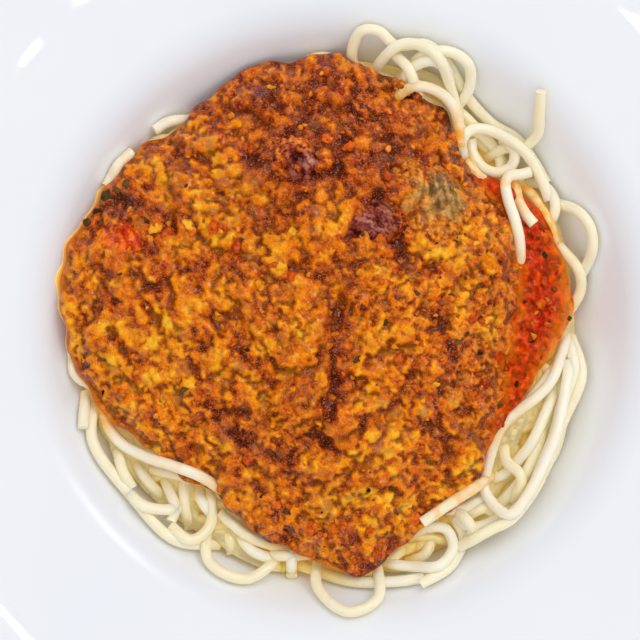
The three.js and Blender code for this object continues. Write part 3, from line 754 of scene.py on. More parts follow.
def scatter_crumbs(fields, grid, places):
    """Lays the crumbs on the sauce, each one by the oil, painted shade, redness and flow of its place."""
    warp = [layered(grid.x, grid.y, layers) for layers in CRUMB_WARPS]
    random = np.random.default_rng(CRUMB_SEED)
    for count, sizes, lift, tall, own in CRUMB_SIZES:
        ground = fields["height"].copy()
        for _ in range(count):
            bearing = random.uniform(-math.pi, math.pi)
            size = between(sizes, random.random() ** CRUMB_SKEW)
            radius = (float(meat_edge(bearing)) - size * CRUMB_MARGIN) * math.sqrt(random.random())
            x, y = radius * math.cos(bearing), radius * math.sin(bearing)
            oily, dark, red, flow = (float(grid.at(field, x, y)) for field in places.values())
            foot = float(grid.at(ground, x, y)) + size * random.normal(lift, CRUMB_UNEVENNESS)
            foot = foot - OILY_SINK * size * oily
            marks = {
                "glow": MIDDLE_TONE + own * (tone_of(random, dark) - MIDDLE_TONE),
                "flesh": float(random.random() < FLESHY[0] + FLESHY[1] * max(0, dark)),
                "red": float(random.random() < REDDISH[0] + REDDISH[1] * red),
            }
            stretch = random.uniform(*CRUMB_STRETCH)
            turn = flow + random.normal(0, CRUMB_TURN)
            slim = size / stretch**CRUMB_SLIMMING
            splat(fields, grid, warp, (x, y, slim, stretch, turn, foot, size * tall, marks))


@lru_cache(maxsize=None)
def sauce_relief():
    """The meat sauce's crumbs, oil and hollows as fields on a fine grid, with painted light on crumb tops and
    crests and painted shade in folds, hollows and cracks.
    """
    grid = Grid(RELIEF_REACH, RELIEF_CELL)
    noise = partial(layered, grid.x, grid.y)
    inside = meat_edge(grid.bearing) - grid.radius
    broad = meat_level(grid.x, grid.y)
    dark, red = np.zeros_like(broad), np.zeros_like(broad)
    # Folds and the darker places are painted darker, as shade, in the field dark; places below 0 are painted
    # lighter.
    for places, depth, width in CREASES:
        away = distance_to_path(grid, places) + noise(FOLD_WAVER)
        broad = broad - depth * np.exp(-((away / width) ** 2))
        dark = dark + FOLD_SHADE * np.exp(-((away / (FOLD_SPREAD * width)) ** 2))
    for (x, y), (across, up), painted_shade, redness in SHADE_AND_RED_PLACES:
        weight = np.exp(-(((grid.x - x) / across) ** 2 + ((grid.y - y) / up) ** 2))
        dark = dark + painted_shade * weight
        red = red + redness * weight
    bearing_gap = np.abs((grid.bearing - OILY_BEARING + math.pi) % TURN - math.pi)
    oily = np.exp(-np.maximum(inside - OILY_START, 0) / OILY_WIDTH)
    oily = oily * np.clip(OILY_ENDS - bearing_gap / OILY_SPAN, 0, 1)
    cracked = np.clip(noise(CRACKED_PLACES) + CRACKED_SHARE, 0, 1)
    crack = cracked * np.clip(1 - np.abs(noise(CRACK_PATHS)) / CRACK_WIDTH, 0, 1)
    deep = rising(inside, 0, EDGE_FADE) * (1 - OILY_CALM * oily)
    fields = {
        "height": broad + deep * (CLUMP_RISE * (noise(CLUMPS) - 1) - CRACK_DEPTH * crack),
        # Painted shade: cracks are painted darker.
        "glow": BARE_GLOW + noise(GLOW_WAVER) - CRACK_SHADE * crack,
        "flesh": np.zeros_like(broad),
        "red": BARE_RED + PATCH_RED * np.clip(noise(RED_PATCHES), 0, 1),
    }
    scatter_crumbs(fields, grid, {"oily": oily, "dark": dark, "red": red, "flow": noise(FLOW) + FLOW_BEARING})
    for name in ("glow", "flesh", "red"):
        fields[name] = grid.blurred(fields[name], TONE_BLUR)
    height = grid.blurred(fields["height"], HEIGHT_BLUR) + deep * noise(FINE_GRAIN)
    around = grid.blurred(height, WIDE_BLUR)
    close = grid.blurred(height, CLOSE_BLUR)
    pool = around - POOL_DEPTH
    height = pool + POOL_ROUNDING * np.logaddexp(0, (height - pool) / POOL_ROUNDING)
    # Hollows: basins, crevices and cracks, which the finish paints darker as shade.
    hollow = rising(around - height, *BASIN) + CREVICE_SHARE * rising(close - height, *CREVICE)
    return {
        **fields,
        "grid": grid,
        "height": height,
        "hollow": np.clip(hollow + CRACK_SHARE * crack, 0, 1),
        # Crests, which the finish paints lighter as painted light.
        "crest": rising(height - around, *CREST),
        # Painted shade of the folds and darker places.
        "dark": np.clip(dark, -0.5, 1),
        "red": np.clip(OWN_RED * fields["red"] + PLACE_RED * red, 0, 1),
        "oil": np.clip(oily, 0, 1),
    }


def covered(x, y, height, inside, pile):
    """A sauce's height, raised where it lies over a strand: a film that thins out at the edge."""
    strand = pile.grid.at(pile.heights, x, y)
    film = between(FILM, rising(inside, 0, FILM_FADE))
    near = 1 - rising(inside, *STRANDS_SHOW)
    return np.where(near > 0, np.maximum(height, (strand + film) * near + height * (1 - near)), height)


# ---- meshes


def mesh_object(name, points, edges, faces, fields):
    """A mesh object from points in millimetres, with fields of one value or vector a point."""
    mesh = bpy.data.meshes.new(name)
    mesh.from_pydata((np.asarray(points) * MM).tolist(), edges, faces)
    for field, values in fields.items():
        values = np.asarray(values, dtype=np.float32)
        kind, key = ("FLOAT", "value") if values.ndim == 1 else ("FLOAT_VECTOR", "vector")
        mesh.attributes.new(field, kind, "POINT").data.foreach_set(key, values.ravel())
    made = bpy.data.objects.new(name, mesh)
    bpy.context.scene.collection.objects.link(made)
    return made


def mesh_piece(name, points, faces, material, fields):
    """A smooth mesh object with one material."""
    piece = mesh_object(name, points, [], faces, fields)
    piece.data.shade_smooth()
    piece.data.materials.append(material)
    piece.data.update()
    return piece


def ring_at(radius, bearings, z):
    """Points at a radius and height round the plate's axis."""
    return np.column_stack([radius * np.cos(bearings), radius * np.sin(bearings), z])


def bands(first, count, rows):
    """Faces that join so many rings of points, one after another from the first point on."""
    faces = []
    for low in range(first, first + (rows - 1) * count, count):
        for i in range(count):
            after = (i + 1) % count
            faces.append((low + i, low + after, low + count + after, low + count + i))
    return faces


def revolved(name, profile, sides, material):
    """A closed solid of revolution about +Z. The profile runs from axis to axis."""
    bearings = TURN * np.arange(sides) / sides
    rings = [ring_at(radius, bearings, np.full(sides, z)) for radius, z in profile[1:-1]]
    points = np.vstack([(0, 0, profile[0][1]), *rings, (0, 0, profile[-1][1])])
    last = len(points) - 1
    faces = bands(1, sides, len(rings))
    for side in range(sides):
        after = (side + 1) % sides
        faces.append((0, 1 + after, 1 + side))
        faces.append((last, last - sides + side, last - sides + after))
    return mesh_piece(name, points, faces, material, {})


def disc_faces(rings):
    """Triangles of a disc with rings of 6, 12, 18 ... points round one centre point."""
    faces = []
    for ring in range(1, rings + 1):
        outer, inner = 6 * ring, max(1, 6 * (ring - 1))
        outer_start = 1 + 3 * ring * (ring - 1)
        inner_start = 0 if ring == 1 else 1 + 3 * (ring - 1) * (ring - 2)
        side, step = np.divmod(np.arange(outer), ring)
        here = outer_start + (side * ring + step) % outer
        after = outer_start + (side * ring + step + 1) % outer
        within = inner_start + (side * (ring - 1) + step) % inner
        faces.append(np.column_stack([within, here, after]))
        shared = step < ring - 1
        within_after = inner_start + (side * (ring - 1) + step + 1) % inner
        faces.append(np.column_stack([within, after, within_after])[shared])
    return np.vstack(faces)


def disc_plan(rings):
    """Share of the reach and bearing of each point of such a disc."""
    shares, bearings = [0.0], [0.0]
    for ring in range(1, rings + 1):
        shares.extend([ring / rings] * (6 * ring))
        bearings.extend((TURN * np.arange(6 * ring) / (6 * ring)).tolist())
    return np.array(shares), np.array(bearings)


def slab(name, rings, top, rows, material, fields):
    """A closed piece: a disc of points on top, rows of points under its rim, and a middle point."""
    count = 6 * rings
    points = np.vstack([top, *rows, rows[-1].mean(axis=0)])
    middle = len(points) - 1
    faces = disc_faces(rings).tolist()
    for start in range(len(top) - count, middle - count, count):
        for i in range(count):
            after = (i + 1) % count
            faces.append((start + i, start + count + i, start + count + after, start + after))
    start = middle - count
    faces.extend((start + i, middle, start + (i + 1) % count) for i in range(count))
    fields = {
        field: np.concatenate([values, np.tile(values[-count:], len(rows)), [0.0]])
        for field, values in fields.items()
    }
    return mesh_piece(name, points, faces, material, fields)


# ---- node groups


def feed(tree, socket, value):
    """Links a socket to another one, or sets it."""
    if isinstance(value, bpy.types.NodeSocket):
        tree.links.new(value, socket)
    else:
        socket.default_value = value


def add_node(tree, kind, inputs, **settings):
    """A node with its settings, and with its inputs linked or set."""
    node = tree.nodes.new(kind)
    for key, value in settings.items():
        setattr(node, key, value)
    for key, value in inputs.items():
        feed(tree, node.inputs[key], value)
    return node


def new_tree(name, inputs):
    """An empty geometry tree with named inputs, and the sockets of those inputs."""
    tree = bpy.data.node_groups.new(name, "GeometryNodeTree")
    for label, kind in {"Geometry": "Geometry", **inputs, "Finish": "Material"}.items():
        tree.interface.new_socket(label, in_out="INPUT", socket_type=f"NodeSocket{kind}")
    tree.interface.new_socket("Geometry", in_out="OUTPUT", socket_type="NodeSocketGeometry")
    return tree, tree.nodes.new("NodeGroupInput").outputs


def chained(tree, given, *steps):
    """The tree with nodes one after another, from its input over the steps to a smooth, realized finish."""
    flow = given["Geometry"]
    ending = ("SetShadeSmooth", {}), ("RealizeInstances", {}), ("SetMaterial", {"Material": given["Finish"]})
    for kind, inputs in (*steps, *ending):
        node = add_node(tree, f"GeometryNode{kind}", inputs)
        feed(tree, next(s for s in node.inputs if s.type == "GEOMETRY"), flow)
        flow = next(s for s in node.outputs if s.type == "GEOMETRY")
    feed(tree, tree.nodes.new("NodeGroupOutput").inputs["Geometry"], flow)
    return tree


def named_field(tree, name, kind="FLOAT"):
    """A field of the mesh, read by its name."""
    node = add_node(tree, "GeometryNodeInputNamedAttribute", {"Name": name}, data_type=kind)
    return node.outputs["Attribute"]


def strand_tree():
    """Round strands along the edges of a mesh, with their ends closed."""
    tree, given = new_tree("strands", {"Strand Radius": "Float", "Sides": "Int"})
    section = {"Resolution": given["Sides"], "Radius": given["Strand Radius"]}
    circle = add_node(tree, "GeometryNodeCurvePrimitiveCircle", section).outputs["Curve"]
    return chained(
        tree, given,
        ("MeshToCurve", {}),
        ("SetCurveRadius", {"Radius": named_field(tree, "girth")}),
        ("CurveToMesh", {"Profile Curve": circle, "Fill Caps": True}),
    )


def bits_tree():
    """Small uneven lumps on the points of a mesh, each turned and stretched its own way."""
    tree, given = new_tree("bits", {"Detail": "Int", "Unevenness": "Float", "Grain": "Float"})
    lump = add_node(tree, "GeometryNodeMeshIcoSphere", {"Subdivisions": given["Detail"]})
    noise = add_node(tree, "ShaderNodeTexNoise", {"Detail": 1.0, "Scale": given["Grain"]})
    inputs = {0: noise.outputs["Color"], 1: (0.5, 0.5, 0.5)}
    centred = add_node(tree, "ShaderNodeVectorMath", inputs, operation="SUBTRACT")
    inputs = {0: centred.outputs["Vector"], "Scale": given["Unevenness"]}
    offset = add_node(tree, "ShaderNodeVectorMath", inputs, operation="SCALE")
    spread = {
        "Instance": lump.outputs["Mesh"],
        "Rotation": named_field(tree, "turn", "FLOAT_VECTOR"),
        "Scale": named_field(tree, "stretch", "FLOAT_VECTOR"),
    }
    return chained(
        tree, given,
        ("InstanceOnPoints", spread),
        ("RealizeInstances", {}),
        ("SetPosition", {"Offset": offset.outputs["Vector"]}),
    )


def grown(source, tree, inputs):
    """The plain mesh piece that a geometry tree makes of a source object."""
    modifier = source.modifiers.new("grow", "NODES")
    modifier.node_group = tree
    for item in tree.interface.items_tree:
        if item.in_out == "INPUT" and item.name in inputs:
            modifier[item.identifier] = inputs[item.name]
    name = source.name
    depsgraph = bpy.context.evaluated_depsgraph_get()
    mesh = bpy.data.meshes.new_from_object(source.evaluated_get(depsgraph))
    source.modifiers.remove(modifier)
    bpy.data.objects.remove(source)
    mesh.name = name
    piece = bpy.data.objects.new(name, mesh)
    bpy.context.scene.collection.objects.link(piece)
    if not len(mesh.polygons):
        raise RuntimeError(f"{name}: the geometry tree made no faces")
    return piece


# ---- finishes


def paint(red, green, blue):
    """A linear colour with alpha from a screen colour of 0 to 255."""
    def linear(value):
        value /= 255
        return value / 12.92 if value <= 0.04045 else ((value + 0.055) / 1.055) ** 2.4
    return (linear(red), linear(green), linear(blue), 1.0)


class Finish:
    """A node material being put together round one Principled shader."""

    def __init__(self, name, **constants):
        self.material = bpy.data.materials.new(name)
        self.material.use_nodes = True
        self.tree = self.material.node_tree
        self.shader = self.tree.nodes["Principled BSDF"]
        for key, value in constants.items():
            self.shader.inputs[key.replace("_", " ")].default_value = value
        self.place = self.node("TexCoord", {}).outputs["Object"]

    def node(self, kind, inputs, **settings):
        return add_node(self.tree, f"ShaderNode{kind}", inputs, **settings)

    def noise(self, size, detail):
        """Noise with features of a size in millimetres."""
        inputs = {"Vector": self.place, "Scale": 1 / (size * MM), "Detail": detail}
        return self.node("TexNoise", inputs).outputs["Fac"]

    def cells(self, size):
        """The distance to the middle of the nearest cell, with cells of a size in millimetres."""
        inputs = {"Vector": self.place, "Scale": 1 / (size * MM)}
        return self.node("TexVoronoi", inputs).outputs["Distance"]

    def field(self, name):
        return self.node("Attribute", {}, attribute_name=name).outputs["Fac"]

    def math(self, operation, first, second, clamp=False):
        node = self.node("Math", {0: first, 1: second}, operation=operation, use_clamp=clamp)
        return node.outputs["Value"]

    def range(self, value, low, high, to_low=0.0, to_high=1.0):
        inputs = {"Value": value, "From Min": low, "From Max": high, "To Min": to_low, "To Max": to_high}
        return self.node("MapRange", inputs).outputs["Result"]

    def ramp(self, value, stops):
        """A colour that runs through stops of position and screen colour."""
        node = self.node("ValToRGB", {"Fac": value})
        elements = node.color_ramp.elements
        while len(elements) < len(stops):
            elements.new(0.5)
        for element, (position, colour) in zip(elements, stops):
            element.position = position
            element.color = paint(*colour)
        return node.outputs["Color"]

    def mix(self, share, first, second):
        """A mix of two colours. The second is a screen colour or a socket."""
        if isinstance(second, tuple):
            second = paint(*second)
        return self.node("Mix", {0: share, 6: first, 7: second}, data_type="RGBA").outputs[2]

    def scaled(self, value, share, clamp=False):
        return self.math("MULTIPLY", value, share, clamp)

    def speckle(self, size, detail, low, high, to_low=0.0, to_high=1.0):
        """Noise that runs from one limit to another between a low and a high of its own."""
        return self.range(self.noise(size, detail), low, high, to_low, to_high)

    def tinted(self, base, field, share, colour):
        """A colour with a share of another one where a field is strong."""
        return self.mix(self.scaled(self.field(field), share), base, colour)

    def bump(self, height, depth, strength, below=None):
        """A bump of a depth in millimetres, on the bump below it if there is one."""
        inputs = {"Height": height, "Distance": depth * MM, "Strength": strength}
        if below:
            inputs["Normal"] = below
        return self.node("Bump", inputs).outputs["Normal"]

    def grain(self, size, detail, depth, strength, below=None):
        return self.bump(self.noise(size, detail), depth, strength, below)

    def finish(self, colour, roughness, normal=None, coat=None):
        """Feeds the shader and gives the material."""
        inputs = {"Base Color": colour, "Roughness": roughness, "Normal": normal, "Coat Normal": coat}
        for key, value in inputs.items():
            if value is not None:
                feed(self.tree, self.shader.inputs[key], value)
        return self.material


def glazed_china(colour):
    """White glaze that is slightly uneven, and bare ground china under the foot ring."""
    made = Finish("glazed_china", Specular_IOR_Level=0.5, Coat_Weight=0.12, Coat_Roughness=0.02)
    height = made.node("SeparateXYZ", {"Vector": made.place}).outputs["Z"]
    foot = made.range(height, 0.0002, 0.0009, 1.0, 0.0)
    cloud = made.speckle(38, 3, 0.3, 0.7, 0.0, 0.5)
    glaze = made.mix(cloud, (*colour, 1.0), (238, 241, 246))
    shade = made.mix(foot, glaze, (214, 208, 196))
    roughness = made.range(foot, 0.0, 1.0, 0.24, 0.75)
    orange_peel = made.grain(9, 2, 0.05, 0.35)
    pinholes = made.grain(0.8, 2, 0.01, 0.25, orange_peel)
    return made.finish(shade, roughness, pinholes)


def boiled_pasta(colour):
    """Ivory strands, painted yellower where they lie deep as the shade between strands, with a faint painted
    glow, stained near the sauce.
    """
    made = Finish(
        "boiled_pasta", Subsurface_Weight=0.6, Subsurface_Scale=0.0009,
        Subsurface_Radius=(1.0, 0.85, 0.55), Specular_IOR_Level=0.5,
        Coat_Weight=0.3, Coat_Roughness=0.15,
        # Painted glow: a faint yellow emission that lightens the shade between strands.
        Emission_Color=(0.80, 0.66, 0.22, 1.0), Emission_Strength=0.09,
    )
    patch = made.speckle(7, 2, 0.35, 0.65)
    tint = made.scaled(made.field("tint"), 0.8)
    warm = made.math("ADD", tint, made.scaled(patch, 0.3), clamp=True)
    base = made.mix(warm, (*colour, 1.0), (240, 228, 192))
    # Painted shade: strands that lie deep in the heap are painted yellower.
    deep = made.tinted(base, "deep", 0.95, (240, 204, 88))
    blotch = made.speckle(2.2, 3, 0.35, 0.6, 0.4, 1.0)
    stain = made.scaled(made.field("stain"), blotch, clamp=True)
    shade = made.mix(stain, deep, (242, 172, 44))
    roughness = made.speckle(3.5, 2, 0.3, 0.7, 0.26, 0.42)
    skin = made.grain(0.7, 3, 0.05, 0.4)
    swelling = made.grain(4, 1, 0.25, 0.25, skin)
    return made.finish(shade, roughness, swelling)


def starchy_core():
    """The hidden inside of the heap: matt, in a deep yellow that paints the warm shade between the strands,
    with a faint painted glow.
    """
    made = Finish(
        "starchy_core", Subsurface_Weight=0.3, Subsurface_Scale=0.002,
        # Painted glow: a faint emission that lightens the shade between strands.
        Emission_Color=(1.0, 0.62, 0.20, 1.0), Emission_Strength=0.09,
    )
    # Painted shade: the deep yellow stands in for the warm shade between the strands.
    shade = made.ramp(made.noise(3, 3), [(0.3, (232, 180, 48)), (0.7, (250, 212, 92))])
    roughness = made.speckle(2, 2, 0, 1, 0.4, 0.7)
    return made.finish(shade, roughness, made.grain(1.5, 2, 0.15, 0.8))


def oily_mince():
    """Crumbs of mince in oily tomato: painted light on the crests, painted shade in the deep red-brown
    hollows, and painted glints.
    """
    made = Finish(
        "oily_mince", Specular_IOR_Level=0.12, Specular_Tint=(1.0, 0.80, 0.60, 1.0),
        Subsurface_Weight=0.14, Subsurface_Scale=0.0008, Subsurface_Radius=(1.0, 0.32, 0.08),
        Coat_Weight=0.8, Coat_Roughness=0.05,
    )
    fine = made.noise(0.5, 3)
    grain = made.scaled(made.math("SUBTRACT", fine, 0.5), 0.80)
    patches = made.scaled(made.math("SUBTRACT", made.noise(6.5, 4), 0.5), 1.5)
    glow = made.math("ADD", made.math("ADD", made.field("glow"), grain), patches)
    # Painted light on the crests.
    lit_on_crests = made.math("ADD", glow, made.scaled(made.field("crest"), 0.12))
    # Painted shade of the folds and darker places.
    lit = made.math("SUBTRACT", lit_on_crests, made.scaled(made.field("dark"), 0.37), clamp=True)
    shade = made.ramp(lit, [
        (0.00, (88, 20, 0)), (0.20, (162, 56, 0)), (0.42, (214, 98, 0)),
        (0.64, (240, 130, 0)), (0.84, (248, 156, 4)), (1.0, (252, 184, 34)),
    ])
    redness = made.scaled(made.field("red"), made.speckle(1.9, 2, 0.38, 0.62, 0.0, 0.8))
    reddened = made.mix(redness, shade, (190, 46, 8))
    meaty = made.tinted(reddened, "flesh", 0.6, (144, 78, 50))
    # Painted shade in the basins, crevices and cracks.
    shaded_in_hollows = made.tinted(meaty, "hollow", 0.72, (80, 16, 0))
    # Painted glints: small pale flecks, tan where the sauce is dark and pale gold where it is bright.
    dull = made.range(lit, 0.35, 0.60, 1.0, 0.40)
    painted_glints = made.scaled(made.speckle(0.38, 2, 0.56, 0.68, 0.0, 0.62), dull)
    glint_colour = made.ramp(lit, [(0.35, (204, 146, 98)), (0.65, (255, 206, 126))])
    glinted = made.mix(painted_glints, shaded_in_hollows, glint_colour)
    oiled = made.tinted(glinted, "oil", 0.8, (214, 116, 8))
    roughness = made.speckle(0.9, 2, 0.35, 0.65, 0.18, 0.34)
    pores = made.grain(0.42, 3, 0.20, 1.0)
    film = made.grain(0.55, 2, 0.06, 0.8)
    return made.finish(oiled, roughness, made.grain(1.1, 2, 0.30, 0.6, pores), film)


def wet_tomato():
    """Smooth sauce of sieved tomato with pulp, orange where the oil runs out of it."""
    made = Finish(
        "wet_tomato", Specular_IOR_Level=0.12, Specular_Tint=(1.0, 0.70, 0.5, 1.0),
        Subsurface_Weight=0.10, Subsurface_Scale=0.0008, Subsurface_Radius=(1.0, 0.25, 0.08),
        Coat_Weight=0.4, Coat_Roughness=0.05,
    )
    pulp = made.noise(1.7, 4)
    shade = made.ramp(pulp, [
        (0.34, (108, 4, 0)), (0.46, (168, 22, 0)),
        (0.58, (214, 48, 0)), (0.74, (242, 96, 0)),
    ])
    oil = made.scaled(made.field("oil"), made.speckle(3, 2, 0.26, 0.52), clamp=True)
    oily = made.mix(oil, shade, (252, 152, 4))
    speck = made.range(made.cells(1.9), 0.06, 0.14, 0.5, 0.0)
    specked = made.mix(speck, oily, (92, 34, 8))
    roughness = made.speckle(1.4, 2, 0.3, 0.7, 0.12, 0.34)
    grain = made.grain(0.5, 3, 0.18, 0.8)
    film = made.grain(0.9, 2, 0.08, 0.8)
    return made.finish(specked, roughness, made.grain(1.2, 3, 0.35, 0.8, grain), film)


def meat_fibre(name, tones, sauce_tones, gloss):
    """Cooked meat with fibres along the piece's length, and sauce over part of it."""
    made = Finish(name, Specular_IOR_Level=0.2, Coat_Weight=gloss, Coat_Roughness=0.06)
    fibre = made.field("fibre")
    fine = made.noise(0.6, 3)
    coarse = made.scaled(made.noise(2.4, 4), 0.62)
    mottled = made.math("ADD", coarse, made.scaled(fine, 0.16))
    grain = made.math("ADD", mottled, made.scaled(fibre, 0.22))
    shade = made.ramp(grain, list(zip((0.38, 0.50, 0.62), tones)))
    patchy = made.speckle(1.2, 3, 0.34, 0.48)
    sauced = made.scaled(made.field("sauced"), patchy, clamp=True)
    sauce_grain = made.scaled(made.noise(0.9, 4), 0.75)
    streaked = made.math("ADD", sauce_grain, made.scaled(fibre, 0.25))
    sauce = made.ramp(streaked, list(zip((0.38, 0.50, 0.62), sauce_tones)))
    coated = made.mix(sauced, shade, sauce)
    pits = made.grain(0.5, 3, 0.12, 0.8)
    roughness = made.range(fine, 0.3, 0.7, 0.15, 0.40)
    film = made.grain(0.8, 2, 0.08, 0.8)
    return made.finish(coated, roughness, made.bump(fibre, 0.15, 0.8, pits), film)


def soft_bit(name, dark, light, translucence, gloss):
    """A soft scrap of vegetable, mottled between two colours."""
    made = Finish(
        name, Subsurface_Weight=translucence, Subsurface_Scale=0.001,
        Specular_IOR_Level=0.2, Coat_Weight=gloss, Coat_Roughness=0.08,
    )
    cloud = made.scaled(made.noise(0.9, 3), 0.6)
    mottled = made.math("ADD", cloud, made.scaled(made.field("shade"), 0.4))
    shade = made.ramp(mottled, [(0.3, dark), (0.7, light)])
    roughness = made.speckle(0.7, 2, 0.3, 0.7, 0.2, 0.45)
    return made.finish(shade, roughness, made.grain(0.5, 2, 0.12, 0.6))


def golden_oil():
    """The thin line of oil that runs out of the sauce on to the china, with a faint painted glow."""
    made = Finish(
        "golden_oil", Specular_IOR_Level=0.6, Coat_Weight=0.8, Coat_Roughness=0.05,
        # Painted glow: an emission that lightens the oil line.
        Emission_Color=(1.0, 0.62, 0.16, 1.0), Emission_Strength=0.22,
    )
    shade = made.ramp(made.field("shade"), [
        (0.0, (214, 118, 8)), (0.5, (255, 184, 40)), (1.0, (255, 226, 140)),
    ])
    roughness = made.speckle(2, 2, 0, 1, 0.08, 0.2)
    return made.finish(shade, roughness, made.grain(1.2, 2, 0.05, 0.4))


def plain_floor(colour):
    """A pale, faintly clouded floor."""
    made = Finish("plain_floor", Specular_IOR_Level=0.2)
    faint = made.speckle(60, 3, 0.3, 0.7, 0.0, 0.25)
    return made.finish(made.mix(faint, (*colour, 1.0), (226, 226, 228)), 0.6)


# ---- settings


class PlateSettings(bpy.types.PropertyGroup):
    sides: IntProperty(name="Sides", description="Steps round the plate", default=160, min=24, max=512)
    glaze: FloatVectorProperty(
        name="Glaze", description="Colour of the glaze", subtype="COLOR", size=3, min=0, max=1,
        default=paint(246, 246, 248)[:3],
    )


class StrandSettings(bpy.types.PropertyGroup):
    radius: FloatProperty(
        name="Radius", description="Radius of a boiled strand", unit="LENGTH", default=1.3 * MM,
        precision=5,
    )
    sides: IntProperty(name="Sides", description="Steps round a strand", default=12, min=6, max=32)
    fillers: IntProperty(
        name="Hidden strands", description="Strands under those that show", default=110, min=0,
    )
    colour: FloatVectorProperty(
        name="Pasta", description="Colour of the palest strands", subtype="COLOR", size=3, min=0, max=1,
        default=paint(240, 235, 222)[:3],
    )


class SauceSettings(bpy.types.PropertyGroup):
    rings: IntProperty(
        name="Rings", description="Rings of points from centre to edge", default=170, min=20, max=172,
    )
    steps: IntProperty(
        name="Steps", description="Steps along the tomato sauce", default=360, min=40, max=600,
    )


class BitSettings(bpy.types.PropertyGroup):
    crumbs: IntProperty(name="Loose crumbs", description="Grains of mince on the sauce", default=420, min=0)
    tomato: IntProperty(name="Tomato bits", description="Further scraps of tomato", default=46, min=0)
    pale: IntProperty(name="Onion bits", description="Further scraps of onion", default=16, min=0)
    herbs: IntProperty(name="Herb flakes", description="Further flakes of herb", default=90, min=0)


class StageSettings(bpy.types.PropertyGroup):
    height: FloatProperty(name="Camera height", description="Above the table", unit="LENGTH", default=0.4385)
    lens: FloatProperty(name="Lens", description="Focal length in millimetres", default=100.0)
    sky: FloatProperty(name="Sky", description="Strength of the even light", default=0.78)
    soft_box: FloatProperty(name="Soft box", description="Power of the large lamp in watts", default=2.0)
    spark: FloatProperty(name="Small lamps", description="Power of each small lamp in watts", default=0.014)
    floor: FloatVectorProperty(
        name="Floor", description="Colour of the floor", subtype="COLOR", size=3, min=0, max=1,
        default=paint(236, 236, 238)[:3],
    )


# ---- operators

RIM_STEPS = 6  # steps across the rim
BEND_STEPS = {"bottom": 14, "under_rim": 12, "lip": 14, "shoulder": 28, "wall": 28}
FOOT_ROUNDING = 0.4  # how far the foot ring's edges are rounded


def pile_beside(scene):
    """The strands beside the sauces and their pile, by the set size and number."""
    settings = scene.bolognese_strands
    return strands_beside(settings.radius / MM, settings.fillers)


def ride(piece, node=None, slot=None):
    """Fixes a piece to the dish, in place of a CAD node where one is named."""
    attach(piece, "root")
    if node:
        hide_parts(node)
    return piece


def plate_profile():
    """Radius and height from the underside's centre, round the edge, to the well's centre."""
    edge = CHINA / 2
    rim_end = PLATE_RADIUS - edge
    quarter = math.pi / 2
    under = math.asin((FOOT_OUTER + FOOT_TAPER - FLOOR_RADIUS) / (FLOOR_BEND + CHINA))

    def arc(centre, radius, start, end, steps):
        angles = np.linspace(start, end, steps + 1)
        return [(centre[0] + radius * math.cos(a), centre[1] + radius * math.sin(a)) for a in angles]

    foot = [
        (0, RECESS), (FOOT_INNER / 2, RECESS), (FOOT_INNER - 2, RECESS),
        (FOOT_INNER - FOOT_ROUNDING, FOOT_ROUNDING), (FOOT_INNER + 0.1, 0),
        (FOOT_OUTER - FOOT_ROUNDING, 0), (FOOT_OUTER + 0.1, FOOT_ROUNDING),
    ]
    bends = {
        "bottom": (FOOT_BEND, FLOOR_BEND + CHINA, under - quarter, WALL_SLOPE - quarter),
        "under_rim": (HEAD_BEND, SHOULDER - CHINA, quarter + WALL_SLOPE, quarter + RIM_SLOPE),
        "lip": ((rim_end, PLATE_HEIGHT - edge), edge, -quarter, quarter),
        "shoulder": (HEAD_BEND, SHOULDER, quarter + RIM_SLOPE, quarter + WALL_SLOPE),
        "wall": (FOOT_BEND, FLOOR_BEND, WALL_SLOPE - quarter, -quarter),
    }
    arcs = {name: arc(*bend, BEND_STEPS[name]) for name, bend in bends.items()}
    across = [1 - step / RIM_STEPS for step in range(1, RIM_STEPS)]
    start, rise = arcs["shoulder"][0]
    rim = [(between((start, rim_end), share), between((rise, PLATE_HEIGHT), share)) for share in across]
    floor = [(FLOOR_RADIUS / 2, WELL_FLOOR), (0, WELL_FLOOR)]
    under_side = [*foot, *arcs["bottom"], *arcs["under_rim"], *arcs["lip"]]
    return [*under_side, *rim, *arcs["shoulder"], *arcs["wall"], *floor]


class BOLOGNESE_OT_plate(bpy.types.Operator):
    """The glazed plate with its deep well, turned on the wheel"""

    bl_idname = "bolognese.plate"
    bl_label = "Plate"

    def execute(self, context):
        settings = context.scene.bolognese_plate
        plate = revolved("glazed_plate", plate_profile(), settings.sides, glazed_china(settings.glaze))
        ride(plate, "plate", "china")
        return {"FINISHED"}


